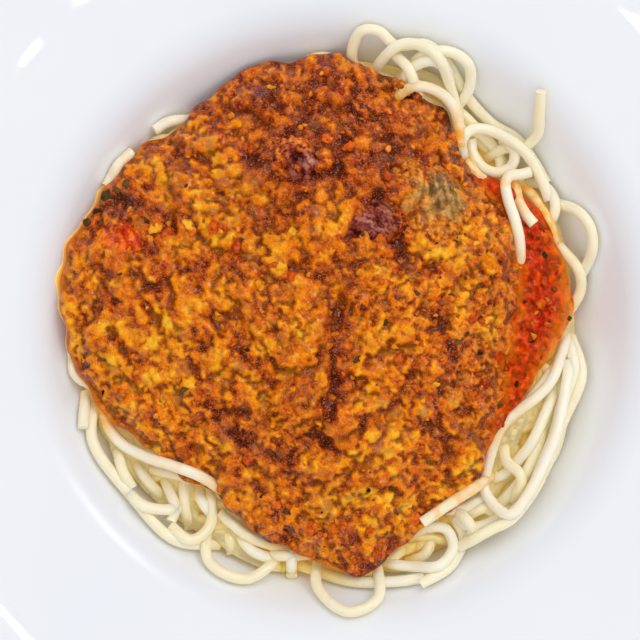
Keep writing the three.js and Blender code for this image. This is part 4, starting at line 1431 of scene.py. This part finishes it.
def strand_source(name, strands, coated, first_over):
    """A mesh of edges along the strands, with what their finish needs."""
    random = np.random.default_rng(FINISH_SEED)
    points, edges = [], []
    fields = {"girth": [], "tint": [], "deep": [], "stain": []}
    for index, line in enumerate(strands):
        first = len(points)
        count = len(line)
        radius, bearing = polar(line[:, 0], line[:, 1])
        above = heap_top(np.minimum(radius, heap_reach(bearing)), bearing) - line[:, 2]
        outside = radius - tomato_edge(bearing)
        fading = np.exp(-np.maximum(outside, 0) / EDGE_STAIN_REACH)
        stained = fading * random.uniform(*EDGE_STAIN) * (outside > -EDGE_STAIN_START)
        if index in coated:
            stained = np.full(count, 1.0)
        for end in (line[0], line[-1]):
            if index >= first_over and tuple(np.round(end[:2], 1)) not in OPEN_ENDS:
                away = np.linalg.norm(line - end, axis=1)
                stained = np.maximum(stained, STAIN_STRENGTH * np.exp(-((away / STAIN_REACH) ** 2)))
        along = np.linspace(0, 1, count)
        sway = GIRTH_SWAY * np.sin(TURN * (along * random.uniform(1, 3) + random.random()))
        points.extend(line.tolist())
        edges.extend((first + i, first + i + 1) for i in range(count - 1))
        fields["girth"].extend((random.uniform(*GIRTHS) + sway).tolist())
        fields["tint"].extend([random.random()] * count)
        # Painted shade: how deep a point lies under the heap's top, which the finish paints yellower.
        fields["deep"].extend(rising(above, *DEPTH_SHADE).tolist())
        fields["stain"].extend(stained.tolist())
    return mesh_object(name, points, edges, [], fields)


CORE_RINGS = 40  # rings of points from the core's middle to its edge
CORE_MARGINS = (1.0, 1.2)  # how far its upper and lower edge keep in from the heap's


class BOLOGNESE_OT_strands(bpy.types.Operator):
    """The heap of boiled strands: hidden ones, those that show, and a few over the sauces"""

    bl_idname = "bolognese.strands"
    bl_label = "Strands"

    def execute(self, context):
        settings = context.scene.bolognese_strands
        beside, _ = pile_beside(context.scene)
        over = strands_over(settings.radius / MM, settings.fillers)
        coated = range(len(beside) - len(COATED_STRANDS), len(beside))
        source = strand_source("spaghetti_strands", beside + over, coated, len(beside))
        inputs = {
            "Strand Radius": settings.radius, "Sides": settings.sides,
            "Finish": boiled_pasta(settings.colour),
        }
        strands = grown(source, strand_tree(), inputs)
        for face in strands.data.polygons:
            face.use_smooth = len(face.vertices) == 4
        ride(strands, "spaghetti", "pasta")
        ride(self.core(), slot="pasta")
        return {"FINISHED"}

    def core(self):
        """The hidden inside of the heap."""
        shares, bearings = disc_plan(CORE_RINGS)
        radius = shares * (heap_reach(bearings) - CORE_MARGINS[0])
        height = np.maximum(well_at(radius, 0.5), heap_top(radius, bearings) - HEAP_SINK)
        rim = bearings[-6 * CORE_RINGS:]
        foot = heap_reach(rim) - CORE_MARGINS[1]
        rows = [ring_at(foot * part, rim, well_at(foot * part, 0.1)) for part in (1.0, 0.9, 0.8, 0.7)]
        top = ring_at(radius, bearings, height)
        return slab("heap_core", CORE_RINGS, top, rows, starchy_core(), {})


SAUCE_BEDDING = 0.4  # how far the sauces sink into what they lie on


class BOLOGNESE_OT_meat_sauce(bpy.types.Operator):
    """The meat sauce: crumbs of mince in oily tomato, draped over the strands"""

    bl_idname = "bolognese.meat_sauce"
    bl_label = "Meat sauce"

    def execute(self, context):
        rings = context.scene.bolognese_sauce.rings
        _, pile = pile_beside(context.scene)
        relief = sauce_relief()
        grid = relief["grid"]
        shares, bearings = disc_plan(rings)
        edge = meat_edge(bearings)
        radius = shares * edge
        x, y = radius * np.cos(bearings), radius * np.sin(bearings)
        height = covered(x, y, grid.at(relief["height"], x, y), edge - radius, pile)
        names = ("glow", "hollow", "crest", "dark", "red", "flesh", "oil")
        fields = {name: grid.at(relief[name], x, y) for name in names}
        rim = bearings[-6 * rings:]
        reach = meat_edge(rim)
        below = under_sauce(reach, rim) - SAUCE_BEDDING
        halfway = (height[-6 * rings:] + below) / 2
        rows = [ring_at(reach + 0.05, rim, halfway), ring_at(reach - 0.5, rim, below)]
        for part in (0.92, 0.8, 0.6):
            rows.append(ring_at(reach * part, rim, under_sauce(reach * part, rim) - SAUCE_BEDDING))
        top = np.column_stack([x, y, height])
        sauce = slab("meat_sauce_crumbly", rings, top, rows, oily_mince(), fields)
        ride(sauce, "meat_sauce", "meat_sauce")
        return {"FINISHED"}


TOMATO_SPAN = (-52, 58)  # bearings in degrees at which the tomato sauce starts and ends
TOMATO_ROWS = 84  # points from its inner edge to its outer one
TOMATO_UNDERLAP = 4.5  # how far it reaches under the meat sauce
TOMATO_OIL = (math.radians(2), math.radians(16))  # the bearing where oil runs out of it, and how wide
TOMATO_SKEW = 1.25  # draws its points towards the outer edge
TOMATO_ENDS = 0.12  # the angle over which it thins out at its ends, in radians
TOMATO_ENDING = 0.02  # how much of its depth is left there, before the root is taken
RIM_OIL_REACH = 2.2  # how fast the oil fades in from the outer edge
MEAT_OIL = (0.40, 1.4)  # how strong the oil beside the meat is, and how fast it fades
PULP = [(0.42, 2.6, 51), (0.30, 1.2, 52), (0.12, 0.6, 53)]
PULP_FADE = 1.2  # how far in from the edge the pulp is full


def tomato_relief(x, y, radius, bearing):
    """Height of the tomato sauce with its pulp."""
    inside = rising(tomato_edge(bearing) - radius, 0, PULP_FADE)
    return tomato_level(radius, bearing) + inside * layered(x, y, PULP)


class BOLOGNESE_OT_tomato_sauce(bpy.types.Operator):
    """The smooth tomato sauce that shows beside the meat sauce"""

    bl_idname = "bolognese.tomato_sauce"
    bl_label = "Tomato sauce"

    def execute(self, context):
        steps = context.scene.bolognese_sauce.steps
        _, pile = pile_beside(context.scene)
        bearings = np.radians(np.linspace(*TOMATO_SPAN, steps))
        bearing, share = np.meshgrid(bearings, np.linspace(0, 1, TOMATO_ROWS), indexing="ij")
        meat, outer = meat_edge(bearing), tomato_edge(bearing)
        inner = np.minimum(meat, outer) - TOMATO_UNDERLAP
        radius = inner + (outer - inner) * (1 - (1 - share) ** TOMATO_SKEW)
        x, y = radius * np.cos(bearing), radius * np.sin(bearing)
        top = covered(x, y, tomato_relief(x, y, radius, bearing), outer - radius, pile)
        ends = rising(np.minimum(bearing - bearing[0, 0], bearing[-1, 0] - bearing), 0, TOMATO_ENDS)
        bottom = under_sauce(radius, bearing) - SAUCE_BEDDING
        top = bottom + (top - bottom) * np.sqrt(np.maximum(ends, TOMATO_ENDING))
        golden = 0.1 + np.exp(-(((bearing - TOMATO_OIL[0]) / TOMATO_OIL[1]) ** 2))
        oil = golden * np.exp(-np.maximum(outer - radius, 0) / RIM_OIL_REACH)
        oil = np.clip(oil + MEAT_OIL[0] * np.exp(-np.abs(radius - meat) / MEAT_OIL[1]), 0, 1)
        points = np.vstack([np.column_stack([x.ravel(), y.ravel(), z.ravel()]) for z in (top, bottom)])
        index = np.arange(top.size).reshape(top.shape)
        a, b = index[:-1, :-1].ravel(), index[:-1, 1:].ravel()
        c, d = index[1:, 1:].ravel(), index[1:, :-1].ravel()
        rim = np.concatenate([index[:, 0], index[-1, 1:], index[-2::-1, -1], index[0, -2:0:-1]])
        after = np.roll(rim, -1)
        layers = [(a, b, c, d), (a + top.size, d + top.size, c + top.size, b + top.size)]
        layers.append((rim, after, after + top.size, rim + top.size))
        faces = np.vstack([np.column_stack(layer) for layer in layers]).tolist()
        fields = {"oil": np.tile(oil.ravel(), 2)}
        sauce = mesh_piece("tomato_sauce_smooth", points, faces, wet_tomato(), fields)
        ride(sauce, "tomato_sauce", "tomato_sauce")
        return {"FINISHED"}


PIECE_RINGS = 46  # rings of points from a piece's middle to its edge
RAGS, FINE_RAGS = (0.20, 0.9), (0.07, 0.24)  # how far a piece's edge strays, and over what part of its radius
FIBRE_LENGTH, FIBRE_WIDTH = 0.35, 0.8  # how far fibres are drawn out, as a share, and how wide they are
BROAD_SIZE, FINE_SIZE = 2.6, 0.7  # of a piece's unevenness
SAUCE_BLUR = 1.5  # how far the sauce under a piece is smoothed
SAUCE_TILT = 0.7  # how much a piece follows it, rather than lying level
BROAD_RISE, FINE_RISE = 0.45, 0.08  # height of a piece's unevenness
FIBRE_RISE = (0.08, 0.28)  # height of its fibres, from its middle to one end
FIBRE_LEAN = 0.5  # how far the fibres lean
SAUCED_FROM, SAUCED_SLOPE = 0.85, 1.6  # where sauce starts to lie on a piece, and how fast it does
SAUCED_WAVER = 0.9


def torn_piece(name, place, radii, turn, seed, bare, bare_radius, material):
    """A torn, fibrous piece with a ragged outline, bedded in the sauce up to its shoulders."""
    shares, bearings = disc_plan(PIECE_RINGS)
    around = np.column_stack([np.cos(bearings), np.sin(bearings)])
    east, north = around.T
    reach = PIECE_SPREAD + RAGS[0] * value_noise(east + seed, north + seed, RAGS[1], seed)
    reach += FINE_RAGS[0] * value_noise(east + seed, north, FINE_RAGS[1], seed + 1)
    across, along = (around * (shares * reach)[:, None]).T
    wide, long = across * radii[0], along * radii[1]
    fibre = value_noise(wide * FIBRE_LENGTH, long + FIBRE_LEAN * wide, FIBRE_WIDTH, seed + 2)
    broad = value_noise(wide, long, BROAD_SIZE, seed + 3)
    fine = value_noise(wide, long, FINE_SIZE, seed + 4)
    angle = math.radians(turn)
    x = place[0] + wide * math.cos(angle) - long * math.sin(angle)
    y = place[1] + wide * math.sin(angle) + long * math.cos(angle)
    relief = sauce_relief()
    level = relief["grid"].at(relief["grid"].blurred(relief["height"], SAUCE_BLUR), x, y)
    dome = (1 + PIECE_LIFT) * radii[2] * PIECE_SHOW * (1 - shares**2)
    rough = BROAD_RISE * broad + between(FIBRE_RISE, np.clip(across, 0, 1)) * fibre + FINE_RISE * fine
    z = between((level[0], level), SAUCE_TILT) + dome + rough - PIECE_SINK * shares**3
    from_bare = np.hypot(x - bare[0], y - bare[1]) / bare_radius
    sauced = np.clip(SAUCED_SLOPE * (from_bare - SAUCED_FROM) + SAUCED_WAVER * broad, 0, 1)
    fields = {"fibre": 0.5 + 0.5 * fibre, "sauced": sauced}
    top = np.column_stack([x, y, z])
    rim = top[-6 * PIECE_RINGS:]
    centre = np.array([*place, level[0]])
    rows = [
        centre + (rim - centre) * (share, share, 1) - (0, 0, drop)
        for share, drop in ((0.97, 1.0), (0.7, 2.0))
    ]
    return slab(name, PIECE_RINGS, top, rows, material, fields)


# Three screen colours each, from dark to light, of the pieces and of the sauce on them.
TAN_SAUCE = ((150, 60, 2), (210, 112, 14), (240, 154, 44))
ORANGE_SAUCE = ((150, 40, 0), (214, 92, 2), (248, 140, 14))
BROWN_MEAT = ((104, 68, 26), (158, 110, 46), (198, 156, 92))
PURPLE_MEAT = ((64, 10, 2), (124, 42, 26), (180, 104, 84))
RED_TOMATO = ((150, 22, 0), (208, 58, 0), (242, 112, 10))


class BOLOGNESE_OT_pieces(bpy.types.Operator):
    """The pieces large enough to stand out of the sauce"""

    bl_idname = "bolognese.pieces"
    bl_label = "Pieces in the sauce"

    def execute(self, context):
        brown = meat_fibre("browned_meat", BROWN_MEAT, TAN_SAUCE, 0.6)
        purple = meat_fibre("dark_meat", PURPLE_MEAT, ORANGE_SAUCE, 0.8)
        tomato = meat_fibre("cooked_tomato", RED_TOMATO, ORANGE_SAUCE, 0.25)
        finishes = {
            "meat_chunk": (brown, "meat"), "meat_piece_1": (purple, "dark_meat"),
            "meat_piece_2": (purple, "dark_meat"), "tomato_piece": (tomato, "tomato"),
        }
        for node, shape in PIECES.items():
            material, slot = finishes[node]
            ride(torn_piece(f"{node}_torn", *shape, material), node, slot)
        return {"FINISHED"}


MEAT_MARGIN = 0.4  # a bit nearer than this to the meat sauce's edge lies on the tomato sauce


def surface_at(x, y):
    """Height of whichever sauce shows at a place."""
    relief = sauce_relief()
    radius, bearing = math.hypot(x, y), math.atan2(y, x)
    if radius > float(meat_edge(bearing)) - MEAT_MARGIN:
        return float(tomato_relief(x, y, radius, bearing))
    return float(relief["grid"].at(relief["height"], x, y))


LUMPINESS = 900.0  # how many times a metre the surface of a bit rises and falls
BIT_LENGTH, BIT_WIDTH = (0.9, 1.35), (0.7, 1.0)  # of a bit, over its radius
BIT_LEAST = 0.12  # half thickness of the thinnest bits
BIT_LEAN = 0.28  # how far bits lean, in radians
BITS_ON_TOMATO = (-40, 36)  # bearings in degrees at which bits lie on the tomato sauce
BIT_MARGINS = {"tomato": 1.5, "meat": 2}  # how far bits keep in from each sauce's edge


def scattered(name, spots, material, flatness, bed, detail, unevenness, seed):
    """Small bits at spots of place and radius, sunk a share of their size into the sauce."""
    random = np.random.default_rng(seed)
    points, turns, stretches, shades = [], [], [], []
    for (x, y), radius in spots:
        length, width = radius * random.uniform(*BIT_LENGTH), radius * random.uniform(*BIT_WIDTH)
        thick = max(BIT_LEAST, radius * flatness)
        points.append((x, y, surface_at(x, y) + thick * (1 - 2 * bed)))
        turns.append((random.normal(0, BIT_LEAN), random.normal(0, BIT_LEAN), random.uniform(0, TURN)))
        stretches.append((length * MM, width * MM, thick * MM))
        shades.append(random.random())
    source = mesh_object(name, points, [], [], {"turn": turns, "stretch": stretches, "shade": shades})
    inputs = {
        "Detail": detail, "Unevenness": unevenness * MM, "Grain": LUMPINESS, "Finish": material,
    }
    return ride(grown(source, bits_tree(), inputs))


def seeded_spots(count, sizes, seed, on_tomato):
    """Places spread over the sauces, a share of them on the tomato sauce."""
    random = np.random.default_rng(seed)
    spots = []
    while len(spots) < count:
        if random.random() < on_tomato:
            bearing = math.radians(random.uniform(*BITS_ON_TOMATO))
            inner = float(meat_edge(bearing))
            outer = float(tomato_edge(bearing)) - BIT_MARGINS["tomato"]
            if outer <= inner:
                continue
            radius = random.uniform(inner, outer)
        else:
            bearing = random.uniform(-math.pi, math.pi)
            reach = float(meat_edge(bearing)) - BIT_MARGINS["meat"]
            radius = reach * math.sqrt(random.random())
        size = between(sizes, random.random() ** 2)
        spots.append(((radius * math.cos(bearing), radius * math.sin(bearing)), size))
    return spots


# Each kind of bit: its setting, those placed singly, then (sizes, seed, share on the tomato sauce), (name
# of the finish, dark and light colour, translucence, gloss) and (flatness, share that is sunk, detail,
# unevenness, seed).
BITS = {
    "mince_crumbs": (
        "crumbs", [], ((0.4, 0.95), 61, 0.05),
        ("loose_mince", (176, 66, 2), (250, 148, 20), 0.1, 0.3), (0.70, 0.60, 2, 1.5, 71),
    ),
    "tomato_bits": (
        "tomato", TOMATO_BITS, ((0.7, 1.7), 62, 0.25),
        ("tomato_scraps", (160, 26, 0), (246, 112, 10), 0.0, 0.15), (0.50, 0.72, 3, 2.4, 72),
    ),
    "onion_bits": (
        "pale", PALE_BITS, ((0.45, 1.1), 63, 0.05),
        ("stewed_onion", (246, 144, 6), (255, 186, 44), 0.1, 0.3), (0.60, 0.72, 3, 2.4, 73),
    ),
    "herb_flakes": (
        "herbs", HERB_FLAKES, ((0.25, 0.6), 64, 0.1),
        ("dried_herb", (34, 22, 6), (112, 76, 26), 0.0, 0.1), (0.36, 0.34, 2, 1.8, 74),
    ),
}


class BOLOGNESE_OT_bits(bpy.types.Operator):
    """Loose crumbs, scraps of tomato and onion, and flakes of herb on the sauces"""

    bl_idname = "bolognese.bits"
    bl_label = "Bits"

    def execute(self, context):
        settings = context.scene.bolognese_bits
        for name, (setting, singly, spread, finish, shape) in BITS.items():
            spots = singly + seeded_spots(getattr(settings, setting), *spread)
            scattered(name, spots, soft_bit(*finish), *shape)
        return {"FINISHED"}


OIL_SPAN = (136, 198)  # bearings in degrees at which the oil starts and ends
OIL_STEPS = 320
OIL_WIDTH, OIL_WAVER = 1.05, 0.42  # how far it reaches from the sauce's edge, give or take
OIL_FADE = 0.4  # how it thins out towards its ends
# The oil's cross-section: distance from the sauce's edge as a share of the width, height above the china
# and how pale it is.
OIL_SECTION = [
    (-1.4, 0.9, 0.0), (-0.5, 0.75, 0.2), (0.3, 0.45, 0.5), (0.75, 0.25, 0.8), (1.0, 0.02, 1.0),
    (0.2, 0.02, 0.8), (-0.8, 0.02, 0.2),
]


class BOLOGNESE_OT_oil(bpy.types.Operator):
    """The golden line of oil between the sauce and the china"""

    bl_idname = "bolognese.oil"
    bl_label = "Oil line"

    def execute(self, context):
        bearings = np.radians(np.linspace(*OIL_SPAN, OIL_STEPS))
        fade = np.sin(np.linspace(0, math.pi, OIL_STEPS)) ** OIL_FADE
        width = OIL_WIDTH + OIL_WAVER * value_noise(bearings * 60, bearings * 0, 5, 81)
        across, above, shade = np.array(OIL_SECTION).T
        count = len(OIL_SECTION)
        rows = []
        for bearing, out, wide, share in zip(bearings, meat_edge(bearings), width, fade):
            radius = out + across * wide * share
            rows.append(ring_at(radius, bearing, well_at(radius, 0.0) + above * max(share, 0.05)))
        ends = [tuple(range(count))[::-1], tuple(range((OIL_STEPS - 1) * count, OIL_STEPS * count))]
        faces = bands(0, count, OIL_STEPS) + ends
        fields = {"shade": np.tile(shade, OIL_STEPS)}
        ride(mesh_piece("oil_line", np.vstack(rows), faces, golden_oil(), fields))
        return {"FINISHED"}


# Where a small lamp's light shows on the plate's rim, and where the camera stands: places in plan.
RIM_GLINTS = [(-70, 60), (-57, 73), (67, 67), (-73, -69)]
EYE = (-4.4, -0.2)
# Lamps round the ceiling that make the wet food sparkle, in metres.
CEILING_LAMPS = [
    (0.20, 0.75, 1.0), (-0.50, 0.60, 1.0), (-0.75, -0.05, 1.0), (0.50, -0.60, 1.0), (0.80, 0.05, 1.0),
    (0.15, 0.45, 1.0), (-0.20, -0.70, 1.0), (-0.40, 0.25, 1.0),
]
# Wide lamps that only fill the shadows: place in metres, and power as a share of the soft box's.
FILL_LAMPS = {
    "wide_fill": ((0.35, 0.75, 0.9), 1.3), "near_fill": ((0.0, -0.90, 0.8), 0.66),
    "left_fill": ((-0.90, 0.0, 0.8), 0.15), "overhead_fill": ((0.0, 0.0, 1.4), 0.3),
}
AIM = (0, 0, 0.03)  # what the lamps face, in metres
SOFT_BOX = (0.62, 0.55, 1.0)  # where it hangs, in metres
SIDES = {"soft_box": 0.30, "ceiling_lamp": 0.08, "fill": 1.0, "small_lamp": 0.006}  # of the lamps, in metres
SOFT_BOX_SHARE, CEILING_SHARE = 0.7, 0.12  # power of the soft box and a ceiling lamp, of what is set
GLINT_REACH = 1.6  # distance of the small lamps from the rim, in metres
SKY_COLOUR = (0.95, 0.97, 1.0, 1.0)
SENSOR_WIDTH = 36
FLOOR_SIDE = 3000.0


def soft_lamp(name, place, target, size, power):
    """A square lamp that faces a target, both in metres."""
    data = bpy.data.lights.new(name, "AREA")
    data.size = size
    data.energy = power
    lamp = bpy.data.objects.new(name, data)
    lamp.location = place
    lamp.rotation_euler = (Vector(target) - Vector(place)).to_track_quat("-Z", "Y").to_euler()
    bpy.context.scene.collection.objects.link(lamp)
    return lamp


class BOLOGNESE_OT_stage(bpy.types.Operator):
    """The pale floor, the soft lamps and the camera straight above the plate"""

    bl_idname = "bolognese.stage"
    bl_label = "Stage"

    def execute(self, context):
        settings = context.scene.bolognese_stage
        scene = context.scene
        half = FLOOR_SIDE / 2
        corners = [(-half, -half, 0), (half, -half, 0), (half, half, 0), (-half, half, 0)]
        floor = mesh_piece("floor", corners, [(0, 1, 2, 3)], plain_floor(settings.floor), {})
        floor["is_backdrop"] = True
        world = bpy.data.worlds.new("even_light")
        scene.world = world
        world.use_nodes = True
        sky = world.node_tree.nodes["Background"]
        sky.inputs["Color"].default_value = SKY_COLOUR
        sky.inputs["Strength"].default_value = settings.sky
        world.cycles_visibility.glossy = False
        power = settings.soft_box
        soft_lamp("soft_box", SOFT_BOX, AIM, SIDES["soft_box"], power * SOFT_BOX_SHARE)
        food = bpy.data.collections.new("wet_food")
        for piece in scene.objects:
            if piece.type == "MESH" and piece.name not in ("glazed_plate", "floor"):
                food.objects.link(piece)
        for index, place in enumerate(CEILING_LAMPS):
            name = f"ceiling_lamp_{index + 1}"
            lamp = soft_lamp(name, place, AIM, SIDES["ceiling_lamp"], power * CEILING_SHARE)
            lamp.visible_diffuse = False
            lamp.light_linking.receiver_collection = food
        for name, (place, share) in FILL_LAMPS.items():
            fill = soft_lamp(name, place, AIM, SIDES["fill"], power * share)
            fill.visible_glossy = False
        self.glints(settings)
        camera = bpy.data.cameras.new("overhead")
        camera.lens = settings.lens
        camera.sensor_width = SENSOR_WIDTH
        eye = bpy.data.objects.new("overhead", camera)
        eye.location = (EYE[0] * MM, EYE[1] * MM, settings.height)
        scene.collection.objects.link(eye)
        scene.camera = eye
        scene.view_settings.view_transform = "Standard"
        return {"FINISHED"}

    def glints(self, settings):
        """Small lamps placed so that the sloping rim mirrors each one at its place."""
        start = HEAD_BEND[0] - SHOULDER * math.sin(RIM_SLOPE)
        eye = Vector((EYE[0] * MM, EYE[1] * MM, settings.height))
        for index, (x, y) in enumerate(RIM_GLINTS):
            radius = math.hypot(x, y)
            z = HEAD_BEND[1] + SHOULDER * math.cos(RIM_SLOPE) + (radius - start) * math.tan(RIM_SLOPE)
            spot = Vector((x, y, z)) * MM
            inward = -math.sin(RIM_SLOPE) / radius
            normal = Vector((x * inward, y * inward, math.cos(RIM_SLOPE)))
            away = (eye - spot).normalized()
            place = spot + (2 * normal.dot(away) * normal - away) * GLINT_REACH
            soft_lamp(f"small_lamp_{index + 1}", place, spot, SIDES["small_lamp"], settings.spark)


class BOLOGNESE_PT_panel(bpy.types.Panel):
    """Sizes, colours and steps of the dish"""

    bl_idname = "BOLOGNESE_PT_panel"
    bl_label = "Bolognese"
    bl_space_type = "VIEW_3D"
    bl_region_type = "UI"
    bl_category = "Bolognese"

    def draw(self, context):
        for group in SETTINGS:
            box = self.layout.box()
            values = getattr(context.scene, group)
            for name in values.__annotations__:
                box.prop(values, name)
        for step in STEPS:
            self.layout.operator(step.bl_idname)


SETTINGS = {
    "bolognese_plate": PlateSettings,
    "bolognese_strands": StrandSettings,
    "bolognese_sauce": SauceSettings,
    "bolognese_bits": BitSettings,
    "bolognese_stage": StageSettings,
}
STEPS = (
    BOLOGNESE_OT_plate, BOLOGNESE_OT_strands, BOLOGNESE_OT_meat_sauce, BOLOGNESE_OT_tomato_sauce,
    BOLOGNESE_OT_pieces, BOLOGNESE_OT_bits, BOLOGNESE_OT_oil, BOLOGNESE_OT_stage,
)


def register():
    for cls in (*SETTINGS.values(), *STEPS, BOLOGNESE_PT_panel):
        bpy.utils.register_class(cls)
    for name, group in SETTINGS.items():
        setattr(bpy.types.Scene, name, PointerProperty(type=group))


def unregister():
    for name in SETTINGS:
        delattr(bpy.types.Scene, name)
    for cls in reversed((*SETTINGS.values(), *STEPS, BOLOGNESE_PT_panel)):
        bpy.utils.unregister_class(cls)


def main():
    register()
    bpy.ops.bolognese.plate()
    bpy.ops.bolognese.strands()
    bpy.ops.bolognese.meat_sauce()
    bpy.ops.bolognese.tomato_sauce()
    bpy.ops.bolognese.pieces()
    bpy.ops.bolognese.bits()
    bpy.ops.bolognese.oil()
    bpy.ops.bolognese.stage()
    boxes = {"cad": cad_box, "visual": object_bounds()}
    sizes = {name: [[float(v) for v in corner] for corner in box] for name, box in boxes.items()}


if __name__ == "__main__":
    main()
